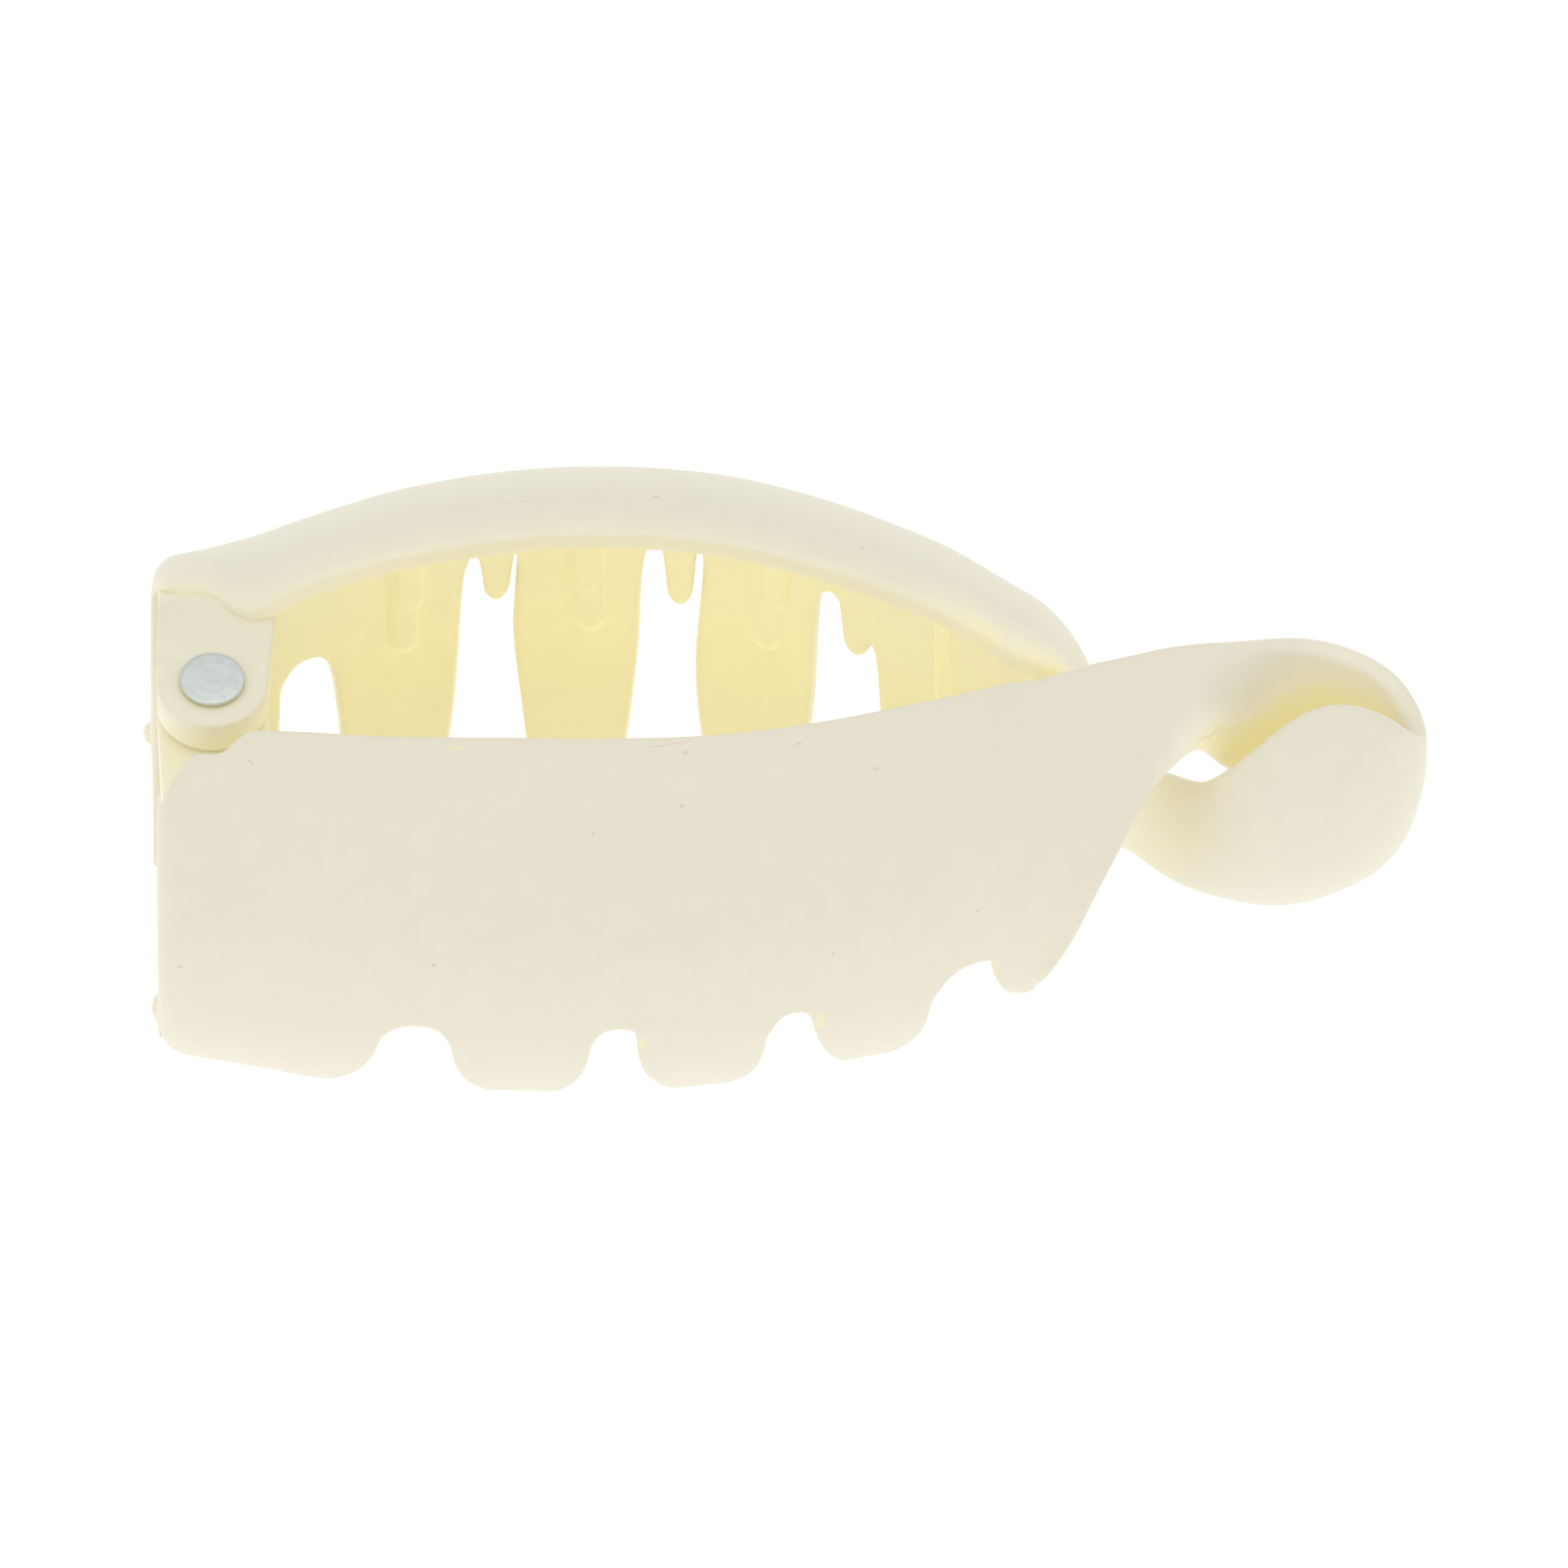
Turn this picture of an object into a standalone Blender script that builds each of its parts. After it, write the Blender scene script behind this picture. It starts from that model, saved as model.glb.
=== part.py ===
"""Banana hair clip: two toothed half-tube jaws on a steel hinge pin, one ending in a twisted loop.

+X runs from the hinge to the loop, -Y is the front jaw's side and +Z is up. The clip stands on the
bottoms of its jaws, and the hinge axis is vertical.
"""
import math

import bmesh
import bpy
from mathutils import Vector

MM = 0.001

# Driving sizes, in millimetres
WALL = 2.1
HINGE_END = -53.9
PIN_X = -48.9
PLATE_END = 20.0
DOME_END = 28.4
BOTTOM_ANGLE = 172.0
MIDDLE_ANGLE = 140.0
TIP_CROSSING = 1.4
END_CORNER = 1.6
PLATE_START = HINGE_END + WALL / 2 + END_CORNER
GAP_CORNER = 6.0
MIDPLANE_GAP = 4.8
EAR_RADIUS = 4.75
EAR_ROOT_DEPTH = 1.6
EAR_TOP_REACH = 4.5
BORE_RADIUS = 1.5
SHANK_RADIUS = 1.15
HEAD_RADIUS = 2.8
HEAD_HEIGHT = 0.45
HEAD_GAP = 0.25
HEAD_EDGE = 0.12
RIB_HEIGHT = 0.5
TOP_ROWS = 8
TOOTH_ROWS = 9
# Move that brings the middle of the clip over the origin and its lowest point to the ground
STANDING_MOVE = (-0.617, 0.006, -0.287)
PLASTIC_COLOUR = (0.80, 0.76, 0.63, 1)
STEEL_COLOUR = (0.60, 0.64, 0.66, 1)
# Turns round the dome at which its sections stand, from the last plate to the pole
DOME_TURNS = (20, 38, 54, 68, 80, 90)

# Sections of a jaw along X: how far its axis lies from the clip's middle plane, its outer radius and
# the height of its crest
SECTIONS = [
    {"x": -53.9, "offset": 4.0, "radius": 18.0, "crest": 36.6},
    {"x": -46.4, "offset": 4.7, "radius": 18.65, "crest": 37.4},
    {"x": -39.5, "offset": 6.5, "radius": 18.9, "crest": 38.6},
    {"x": -32.5, "offset": 8.0, "radius": 19.1, "crest": 39.9},
    {"x": -22.1, "offset": 9.0, "radius": 19.4, "crest": 41.3},
    {"x": -14.4, "offset": 9.0, "radius": 19.6, "crest": 41.8},
    {"x": -7.4, "offset": 8.4, "radius": 19.6, "crest": 41.8},
    {"x": -0.5, "offset": 6.9, "radius": 19.6, "crest": 41.5},
    {"x": 6.5, "offset": 4.8, "radius": 19.5, "crest": 40.9},
    {"x": 12.7, "offset": 2.7, "radius": 19.3, "crest": 39.8},
    {"x": 16.2, "offset": 1.1, "radius": 18.9, "crest": 38.8},
    {"x": 20.0, "offset": -0.8, "radius": 18.4, "crest": 37.5},
    {"x": 28.4, "offset": -0.7, "radius": 18.4, "crest": 37.3},
]

# The rim's inner edge draws back towards the hinge, as an angle from the crest
RIM_EDGE = [
    {"x": -53.9, "angle": 31.0},
    {"x": -52.4, "angle": 21.0},
    {"x": -50.6, "angle": 14.0},
    {"x": -47.5, "angle": 11.0},
    {"x": -45.0, "angle": 6.8},
    {"x": -43.0, "angle": 6.0},
]

# Teeth, from the hinge on: left and right edges at the root, at 140 degrees round the section and at
# the tip; a full tooth reaches across the middle plane and a short one stops at tip_angle
BACK_TEETH = [
    {"name": "heel", "root": (PLATE_START, -42.6), "middle": (PLATE_START, -43.2),
     "tip": (PLATE_START, -44.3), "tip_angle": BOTTOM_ANGLE},
    {"name": "first", "root": (-38.9, -27.8), "middle": (-38.3, -28.8), "tip": (-36.0, -31.8)},
    {"name": "second", "root": (-22.7, -12.3), "middle": (-22.3, -13.4), "tip": (-20.0, -16.0)},
    {"name": "third", "root": (-6.9, 2.9), "middle": (-7.1, 2.3), "tip": (-4.6, -0.8)},
    {"name": "toe", "root": (8.2, 20.0), "middle": (8.3, 20.0), "tip": (8.8, 20.0), "tip_angle": 184},
]
BACK_GAPS = [
    {"angle": 117, "finger": None},
    {"angle": 95, "finger": (-24.75, 112), "finger_root": 3.0},
    {"angle": 93, "finger": (-9.1, 115), "finger_root": 3.0},
    {"angle": 98.5, "finger": (6.2, 117.5), "finger_root": 2.5},
]
FRONT_TEETH = [
    {"name": "heel", "root": (PLATE_START, -35.4), "middle": (PLATE_START, -37.3),
     "tip": (PLATE_START, -37.7)},
    {"name": "second", "root": (-28.7, -17.0), "middle": (-27.6, -18.4), "tip": (-26.1, -22.1)},
    {"name": "third", "root": (-12.9, -2.0), "middle": (-10.9, -3.0), "tip": (-10.3, -6.5)},
    {"name": "fourth", "root": (2.4, 12.3), "middle": (3.7, 11.4), "tip": (4.1, 7.5)},
    {"name": "toe", "root": (18.0, 20.6), "middle": (18.2, 20.6), "tip": (18.3, 20.6),
     "tip_angle": 105, "rows": 1, "last_root": 100.5},
]
FRONT_GAPS = [
    {"angle": 86, "finger": None},
    {"angle": 85, "finger": None},
    {"angle": 85, "finger": None},
    {"angle": 83, "finger": None},
]
FINGER_TIP = 1.9
# How far round the section the outline of the first front tooth reaches, across its width
HEEL_OUTLINE = [
    {"across": 0.0, "angle": BOTTOM_ANGLE},
    {"across": 0.5, "angle": BOTTOM_ANGLE},
    {"across": 0.66, "angle": 190.0},
    {"across": 0.77, "angle": 203.0},
    {"across": 0.89, "angle": 206.5},
    {"across": 1.0, "angle": 201.0},
]

# Raised ribs inside the plates, by their middle line
BACK_RIBS = [-32.7, -16.9, -1.7, 14.8]
FRONT_RIBS = [-22.9, -7.5, 7.3]
RIB_ANGLES = (97.0, 122.0)
RIB_WIDTH = 2.9
RIB_TAPER = 0.45

# The ribbon of the loop, from the front plate on: its upper edge, its lower edge and how far the
# middle bulges from the line between them
RIBBON = [
    {"upper": (23.2, -0.3, 36.3), "lower": (23.4, -17.4, 17.8), "bulge": (0.0, -2.8, 2.6)},
    {"upper": (26.3, 1.5, 35.5), "lower": (26.4, -14.9, 24.2), "bulge": (0.0, -1.3, 1.9)},
    {"upper": (29.5, 2.8, 35.2), "lower": (29.0, -11.4, 28.0), "bulge": (0.0, -0.6, 1.1)},
    {"upper": (32.2, 3.7, 35.0), "lower": (31.1, -8.0, 30.1), "bulge": (0.0, -0.3, 0.8)},
    {"upper": (34.4, 4.3, 34.7), "lower": (33.0, -5.9, 31.4), "bulge": (0.0, -0.2, 0.6)},
    {"upper": (37.1, 4.9, 34.4), "lower": (35.4, -3.4, 31.0), "bulge": (0.0, -0.1, 0.5)},
    {"upper": (39.9, 5.4, 34.2), "lower": (37.9, -1.6, 25.7), "bulge": (0.0, -0.4, 0.3)},
    {"upper": (43.3, 5.5, 33.8), "lower": (40.8, 1.1, 20.2), "bulge": (0.0, 0.1, 0.2)},
    {"upper": (46.8, 5.4, 33.0), "lower": (44.6, 2.0, 17.1), "bulge": (0.0, 0.3, 0.1)},
    {"upper": (49.9, 4.7, 31.5), "lower": (48.4, 1.9, 16.3), "bulge": (0.1, 0.4, 0.0)},
    {"upper": (52.2, 3.4, 30.3), "lower": (51.2, 2.0, 15.1), "bulge": (0.4, 0.4, 0.0)},
    {"upper": (53.6, 1.6, 29.2), "lower": (52.7, 1.0, 14.6), "bulge": (0.6, 0.0, 0.0)},
    {"upper": (54.0, -0.2, 28.6), "lower": (52.2, -0.6, 14.4), "bulge": (0.7, 0.0, 0.0)},
    {"upper": (53.5, -1.4, 30.4), "lower": (51.1, -2.1, 14.2), "bulge": (0.7, -1.4, 0.0)},
    {"upper": (51.5, -1.6, 32.5), "lower": (49.6, -3.6, 14.1), "bulge": (0.4, -3.1, 0.0)},
    {"upper": (48.3, -1.2, 33.4), "lower": (47.2, -4.4, 13.3), "bulge": (0.0, -4.3, 0.0)},
    {"upper": (44.8, -1.8, 33.0), "lower": (44.0, -4.9, 12.3), "bulge": (0.0, -4.6, 0.0)},
    {"upper": (41.7, -3.3, 31.1), "lower": (40.7, -5.3, 12.7), "bulge": (0.0, -4.0, 0.0)},
    {"upper": (38.3, -4.2, 28.0), "lower": (37.6, -5.6, 14.0), "bulge": (0.0, -2.8, 0.0)},
    {"upper": (35.6, -3.2, 25.1), "lower": (34.8, -5.4, 15.4), "bulge": (0.0, -1.5, 0.0)},
    {"upper": (32.9, -1.2, 23.7), "lower": (31.9, -4.6, 17.0), "bulge": (0.0, -0.8, 0.0)},
    {"upper": (30.3, -1.7, 24.3), "lower": (29.3, -4.3, 18.9), "bulge": (0.0, -0.4, 0.0)},
    {"upper": (27.8, -6.1, 24.6), "lower": (26.9, -7.5, 19.2), "bulge": (0.0, 0.0, 0.0)},
    {"upper": (25.1, -10.8, 24.3), "lower": (24.8, -12.0, 18.6), "bulge": (0.0, 0.0, 0.0)},
]
# Block that joins the ribbon's end to the inside of the front plate
ROOT_BLOCK = {"middle": (24.4, -13.4, 21.4), "size": (1.9, 3.6, 3.4)}

# Hinge ears from the top one down; each reaches from the pin into its own jaw's wall
EARS = [
    {"jaw": "back", "bottom": 31.8, "top": 35.4},
    {"jaw": "front", "bottom": 28.1, "top": 31.45},
    {"jaw": "front", "bottom": 5.75, "top": 9.2},
    {"jaw": "back", "bottom": 1.8, "top": 5.4},
]

for old in list(bpy.data.objects):
    bpy.data.objects.remove(old)
clip = bpy.data.collections.new("banana_hair_clip")
cutters = bpy.data.collections.new("cutters")
bpy.context.scene.collection.children.link(clip)
bpy.context.scene.collection.children.link(cutters)


def smooth_step_table(rows, key, column, at):
    """Value of a column at a place between rows, on a smooth curve through them."""
    places = [row[key] for row in rows]
    values = [row[column] for row in rows]
    if at <= places[0]:
        return values[0]
    if at >= places[-1]:
        return values[-1]
    i = max(k for k in range(len(places) - 1) if places[k] <= at)

    def slope(k):
        low, high = max(k - 1, 0), min(k + 1, len(places) - 1)
        return (values[high] - values[low]) / (places[high] - places[low])

    span = places[i + 1] - places[i]
    t = (at - places[i]) / span
    return ((2 * t**3 - 3 * t**2 + 1) * values[i] + (t**3 - 2 * t**2 + t) * span * slope(i)
            + (3 * t**2 - 2 * t**3) * values[i + 1] + (t**3 - t**2) * span * slope(i + 1))


def section(x):
    return [smooth_step_table(SECTIONS, "x", column, x) for column in ("offset", "radius", "crest")]


def shell_point(side, x, angle, inset=WALL / 2):
    """Point of a jaw's wall; side is 1 for the back jaw and -1 for the front one."""
    offset, radius, crest = section(min(x, DOME_END))
    middle = crest - radius
    reach = radius
    if x > PLATE_END and side > 0:
        reach = radius * math.sqrt(max(0.0, 1 - ((x - PLATE_END) / (DOME_END - PLATE_END)) ** 2))
    reach = max(reach - inset, 0.0)
    turn = math.radians(angle)
    return Vector((x, side * (offset + reach * math.sin(turn)), middle + reach * math.cos(turn)))


def crossing_angle(x, overlap):
    """Angle at which a tooth has passed the middle plane by the overlap."""
    offset, radius, crest = section(x)
    return 180 + math.degrees(math.asin((offset + overlap) / (radius - WALL / 2)))


def tooth_edge(tooth, fraction, angle, root_angle, tip_angle):
    """Place along X of a tooth's column at an angle round the section."""
    rows = []
    for level, at in (("root", root_angle), ("middle", MIDDLE_ANGLE), ("tip", tip_angle)):
        left, right = tooth[level]
        rows.append({"angle": at, "x": left + (right - left) * fraction})
    if tip_angle <= MIDDLE_ANGLE:
        rows.pop(1)
    return smooth_step_table(rows, "angle", "x", angle)


def comb_columns(teeth, gaps):
    """Columns of a jaw's grid from the hinge on: place, root angle, tooth and fraction across it."""
    columns = []
    for number, tooth in enumerate(teeth):
        left_root = gaps[max(number - 1, 0)]["angle"]
        right_root = tooth.get("last_root") or gaps[min(number, len(gaps) - 1)]["angle"]
        width = tooth["root"][1] - tooth["root"][0]
        steps = 9 if width > 12 else 6 if width > 9 else 3
        for step in range(steps + 1):
            fraction = step / steps
            root = left_root + (right_root - left_root) * fraction + GAP_CORNER
            if "last_root" in tooth:
                root -= GAP_CORNER * fraction
            columns.append({"x": tooth["root"][0] + width * fraction, "root": root, "tooth": tooth,
                            "fraction": fraction, "open": False})
        if number == len(gaps):
            break
        gap = gaps[number]
        columns[-1]["open"] = True
        start, end = tooth["root"][1], teeth[number + 1]["root"][0]
        if gap["finger"] is None:
            for fraction in (0.2, 0.5, 0.8):
                columns.append({"x": start + (end - start) * fraction, "root": gap["angle"],
                                "tooth": None, "fraction": 0, "open": True})
            continue
        middle, tip = gap["finger"]
        wide = gap["finger_root"]
        finger = {"name": "finger", "tip_angle": tip, "rows": 4,
                  "root": (middle - wide / 2, middle + wide / 2),
                  "middle": (middle, middle),
                  "tip": (middle - FINGER_TIP / 2, middle + FINGER_TIP / 2)}
        columns.append({"x": (start + finger["root"][0]) / 2, "root": gap["angle"] - 1,
                        "tooth": None, "fraction": 0, "open": True})
        for fraction in (0.0, 0.5, 1.0):
            x = finger["root"][0] + wide * fraction
            columns.append({"x": x, "root": gap["angle"] + 1, "tooth": finger, "fraction": fraction,
                            "open": fraction == 1.0})
        columns.append({"x": (end + finger["root"][1]) / 2, "root": gap["angle"] - 1,
                        "tooth": None, "fraction": 0, "open": True})
    return columns


def tooth_tip(tooth, fraction, x):
    """Angle at which a tooth ends, rounded towards its two edges."""
    end = tooth.get("tip_angle")
    if tooth["name"] == "heel" and not end:
        return smooth_step_table(HEEL_OUTLINE, "across", "angle", fraction)
    if tooth["name"] in ("heel", "toe"):
        return end
    end = end or crossing_angle(x, TIP_CROSSING)
    rounding = 3.0 if tooth["name"] == "finger" else 7.0
    return end - rounding * abs(2 * fraction - 1) ** 3


def jaw_point(side, column, row):
    """Place of one grid point of a jaw, by its column and its row from the rim to the tip."""
    rim = smooth_step_table(RIM_EDGE, "x", "angle", column["x"])
    if row <= TOP_ROWS:
        angle = rim + (column["root"] - rim) * row / TOP_ROWS
        return shell_point(side, column["x"], angle)
    tooth = column["tooth"] or {"name": "gap", "root": (0, 0), "middle": (0, 0), "tip": (0, 0)}
    tip = tooth_tip(tooth, column["fraction"], column["x"])
    down = min((row - TOP_ROWS) / tooth.get("rows", TOOTH_ROWS), 1)
    angle = column["root"] + (tip - column["root"]) * down
    x = tooth_edge(tooth, column["fraction"], angle, column["root"], tip)
    return shell_point(side, x, angle)


def wall_points(side, column, rows):
    """Columns that turn the hinge end of a jaw inwards and close it with a flat wall."""
    first = [jaw_point(side, column, row) for row in range(rows + 1)]
    offset, radius, crest = section(column["x"])
    face = HINGE_END + WALL / 2
    columns = []
    for width, turn in ((1.0, 90), (0.65, 90), (0.3, 90), (0.0, 90), (0.0, 40)):
        turned = math.radians(turn)
        x = face + END_CORNER * (1 - math.sin(turned))
        line = []
        for point in first:
            outward = Vector((0, point.y - side * offset, point.z - crest + radius))
            outward.length -= END_CORNER * (1 - math.cos(turned))
            line.append(Vector((x, outward.y + side * offset, crest - radius + outward.z)))
        top, bottom = line[0].z, line[-1].z
        for row in range(rows):
            inner = Vector((x, side * MIDPLANE_GAP, top + (bottom - top) * row / rows))
            line[row] = line[row].lerp(inner, width)
        columns.append(line)
    return columns


def dome_points(side, toe, rows):
    """Columns that close the back jaw's far end like a quarter of a ball."""
    offset, radius, crest = section(PLATE_END)
    spokes = []
    for row in range(rows + 1):
        point = jaw_point(side, toe, row)
        spokes.append(Vector((0, point.y - side * offset, point.z - crest + radius)).normalized())
    columns = []
    for turn in DOME_TURNS:
        x = PLATE_END + (DOME_END - WALL / 2 - PLATE_END) * math.sin(math.radians(turn))
        offset, radius, crest = section(x)
        reach = math.cos(math.radians(turn)) * (radius - WALL / 2)
        columns.append([Vector((x, side * offset, crest - radius)) + spoke * reach for spoke in spokes])
    return columns


def ribbon_points(rows):
    """Columns of the ribbon, each an arc from its upper to its lower edge."""
    columns = []
    for entry in RIBBON:
        upper, lower, bulge = (Vector(entry[name]) for name in ("upper", "lower", "bulge"))
        columns.append([upper.lerp(lower, row / rows) + bulge * (1 - (2 * row / rows - 1) ** 2)
                        for row in range(rows + 1)])
    return columns


def sheet_object(name, lines, keep_face):
    """Open surface made from a grid whose points go to the given lines, then given its thickness."""
    columns, rows = len(lines), TOP_ROWS + TOOTH_ROWS
    mesh = bmesh.new()
    bmesh.ops.create_grid(mesh, x_segments=columns - 1, y_segments=rows, size=0.5)
    mesh.verts.ensure_lookup_table()
    place = {}
    for vert in mesh.verts:
        i = round((vert.co.x + 0.5) * (columns - 1))
        j = round((vert.co.y + 0.5) * rows)
        place[vert] = (i, j)
    dead = []
    for face in mesh.faces:
        i = min(place[vert][0] for vert in face.verts)
        j = min(place[vert][1] for vert in face.verts)
        if not keep_face(i, j):
            dead.append(face)
    bmesh.ops.delete(mesh, geom=dead, context="FACES")
    for vert in mesh.verts:
        i, j = place[vert]
        vert.co = lines[i][j] * MM
    bmesh.ops.remove_doubles(mesh, verts=mesh.verts, dist=0.00002)
    bmesh.ops.dissolve_degenerate(mesh, edges=mesh.edges, dist=0.00001)
    bmesh.ops.recalc_face_normals(mesh, faces=mesh.faces)
    for face in mesh.faces:
        face.smooth = True
    for edge in mesh.edges:
        edge.smooth = not edge.is_boundary
    data = bpy.data.meshes.new(name)
    mesh.to_mesh(data)
    mesh.free()
    sheet = bpy.data.objects.new(name, data)
    clip.objects.link(sheet)
    wall = sheet.modifiers.new("wall", "SOLIDIFY")
    wall.thickness = WALL * MM
    wall.offset = 0
    wall.use_even_offset = True
    return sheet


def boolean(target, name, helpers, operation):
    """Join shapes to a jaw or cut them from it, keeping the shapes out of the renders."""
    group = bpy.data.collections.new(name)
    cutters.children.link(group)
    for helper in helpers:
        clip.objects.unlink(helper)
        group.objects.link(helper)
        helper.hide_render = True
        helper.display_type = "WIRE"
    step = target.modifiers.new(name, "BOOLEAN")
    step.operand_type = "COLLECTION"
    step.collection = group
    step.operation = operation
    step.solver = "EXACT"


def mesh_from(name, mesh):
    bmesh.ops.recalc_face_normals(mesh, faces=mesh.faces)
    data = bpy.data.meshes.new(name)
    mesh.to_mesh(data)
    mesh.free()
    data.shade_smooth()
    data.set_sharp_from_angle(angle=math.radians(30))
    made = bpy.data.objects.new(name, data)
    clip.objects.link(made)
    return made


def ear_shape(name, side, bottom, top):
    """Ear with a round end about the pin, its other end running into the jaw's curved wall."""
    mesh = bmesh.new()
    bmesh.ops.create_circle(mesh, cap_ends=True, segments=28, radius=EAR_RADIUS)
    body = bmesh.ops.extrude_face_region(mesh, geom=list(mesh.faces))
    lifted = [item for item in body["geom"] if isinstance(item, bmesh.types.BMVert)]
    bmesh.ops.translate(mesh, verts=lifted, vec=(0, 0, top - bottom))
    bmesh.ops.translate(mesh, verts=mesh.verts, vec=(0, 0, bottom))
    for vert in mesh.verts:
        if vert.co.y * side > 0.01:
            vert.co.x = 0 if abs(vert.co.x) < 0.01 else math.copysign(EAR_RADIUS, vert.co.x)
            offset, radius, crest = section(PIN_X + vert.co.x)
            depth = vert.co.z - crest + radius
            across = (radius - EAR_ROOT_DEPTH) ** 2 - depth**2
            vert.co.y = side * (offset + math.sqrt(max(across, EAR_TOP_REACH**2)))
    bmesh.ops.remove_doubles(mesh, verts=mesh.verts, dist=0.01)
    bmesh.ops.translate(mesh, verts=mesh.verts, vec=(PIN_X, 0, 0))
    bmesh.ops.scale(mesh, verts=mesh.verts, vec=(MM, MM, MM))
    return mesh_from(name, mesh)


def rib_shape(name, side, x):
    """Low rib along the inner face of a plate, with a narrowed end."""
    mesh = bmesh.new()
    bmesh.ops.create_grid(mesh, x_segments=2, y_segments=4, size=0.5)
    body = bmesh.ops.extrude_face_region(mesh, geom=list(mesh.faces))
    lifted = [item for item in body["geom"] if isinstance(item, bmesh.types.BMVert)]
    bmesh.ops.translate(mesh, verts=lifted, vec=(0, 0, 1))
    start, end = RIB_ANGLES
    for vert in mesh.verts:
        along = vert.co.y + 0.5
        width = RIB_WIDTH * (1 - RIB_TAPER * along**2)
        inset = WALL + RIB_HEIGHT if vert.co.z > 0.5 else WALL / 2
        angle = start + (end - start) * along
        if vert.co.x == 0 and along > 0.9:
            angle += 2.5
        vert.co = shell_point(side, x + width * vert.co.x, angle, inset) * MM
    return mesh_from(name, mesh)


def plastic(name):
    material = bpy.data.materials.new(name)
    material.use_nodes = True
    shader = material.node_tree.nodes["Principled BSDF"]
    shader.inputs["Base Color"].default_value = PLASTIC_COLOUR
    shader.inputs["Roughness"].default_value = 0.5
    return material


def make_jaw(name, side, teeth, gaps, ribs):
    """One whole jaw: its comb, hinge wall, ears, ribs and the bore for the pin."""
    rows = TOP_ROWS + TOOTH_ROWS
    columns = comb_columns(teeth, gaps)
    walls = wall_points(side, columns[0], rows)
    lines = walls + [[jaw_point(side, column, row) for row in range(rows + 1)] for column in columns]
    first_comb = len(walls)
    comb_end = len(lines) - 1
    if side > 0:
        lines += dome_points(side, columns[-1], rows)
    else:
        for ribbon in ribbon_points(TOP_ROWS):
            lines.append(ribbon + [ribbon[-1]] * TOOTH_ROWS)

    def keep_face(i, j):
        if j < TOP_ROWS:
            return True
        if i < first_comb:
            return True
        if i >= comb_end:
            return side > 0
        column = columns[i - first_comb]
        if column["open"]:
            return False
        return j < TOP_ROWS + column["tooth"].get("rows", TOOTH_ROWS)

    jaw = sheet_object(name, lines, keep_face)
    joined = []
    for number, ear in enumerate(EARS):
        if (ear["jaw"] == "back") == (side > 0):
            joined.append(ear_shape(f"{name}_ear_{number}", side, ear["bottom"], ear["top"]))
    for number, x in enumerate(ribs):
        joined.append(rib_shape(f"{name}_rib_{number}", side, x))
    if side < 0:
        block = bmesh.new()
        bmesh.ops.create_cube(block, size=1)
        bmesh.ops.scale(block, verts=block.verts, vec=Vector(ROOT_BLOCK["size"]) * MM)
        bmesh.ops.translate(block, verts=block.verts, vec=Vector(ROOT_BLOCK["middle"]) * MM)
        joined.append(mesh_from(f"{name}_loop_root", block))
    boolean(jaw, f"{name}_joined", joined, "UNION")
    bore = bmesh.new()
    bmesh.ops.create_cone(bore, cap_ends=True, segments=20, radius1=BORE_RADIUS * MM,
                          radius2=BORE_RADIUS * MM, depth=60 * MM)
    bmesh.ops.translate(bore, verts=bore.verts, vec=(PIN_X * MM, 0, 20 * MM))
    boolean(jaw, f"{name}_bore", [mesh_from(f"{name}_bore", bore)], "DIFFERENCE")
    jaw.data.materials.append(plastic(f"{name}_plastic"))
    return jaw


def make_pin():
    """Steel rivet turned from one profile, with a flat head above and below the ears."""
    low = EARS[-1]["bottom"] - HEAD_GAP
    high = EARS[0]["top"] + HEAD_GAP
    profile = [(0, high + HEAD_HEIGHT), (HEAD_RADIUS - HEAD_EDGE, high + HEAD_HEIGHT),
               (HEAD_RADIUS, high + HEAD_HEIGHT - HEAD_EDGE), (HEAD_RADIUS, high),
               (SHANK_RADIUS, high), (SHANK_RADIUS, low), (HEAD_RADIUS, low),
               (HEAD_RADIUS, low - HEAD_HEIGHT + HEAD_EDGE),
               (HEAD_RADIUS - HEAD_EDGE, low - HEAD_HEIGHT), (0, low - HEAD_HEIGHT)]
    mesh = bmesh.new()
    points = [mesh.verts.new((x * MM, 0, z * MM)) for x, z in profile]
    edges = [mesh.edges.new(pair) for pair in zip(points, points[1:])]
    bmesh.ops.spin(mesh, geom=points + edges, cent=(0, 0, 0), axis=(0, 0, 1),
                   angle=math.radians(360), steps=32, use_merge=True)
    bmesh.ops.remove_doubles(mesh, verts=mesh.verts, dist=0.00001)
    pin = mesh_from("hinge_pin", mesh)
    pin.location = (PIN_X * MM, 0, 0)
    steel = bpy.data.materials.new("pin_steel")
    steel.use_nodes = True
    shader = steel.node_tree.nodes["Principled BSDF"]
    shader.inputs["Base Color"].default_value = STEEL_COLOUR
    shader.inputs["Metallic"].default_value = 1.0
    shader.inputs["Roughness"].default_value = 0.45
    pin.data.materials.append(steel)
    return pin


make_jaw("back_jaw", 1, BACK_TEETH, BACK_GAPS, BACK_RIBS)
make_jaw("front_jaw", -1, FRONT_TEETH, FRONT_GAPS, FRONT_RIBS)
make_pin()
for made in bpy.data.objects:
    made.location += Vector(STANDING_MOVE) * MM
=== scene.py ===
import math

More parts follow.
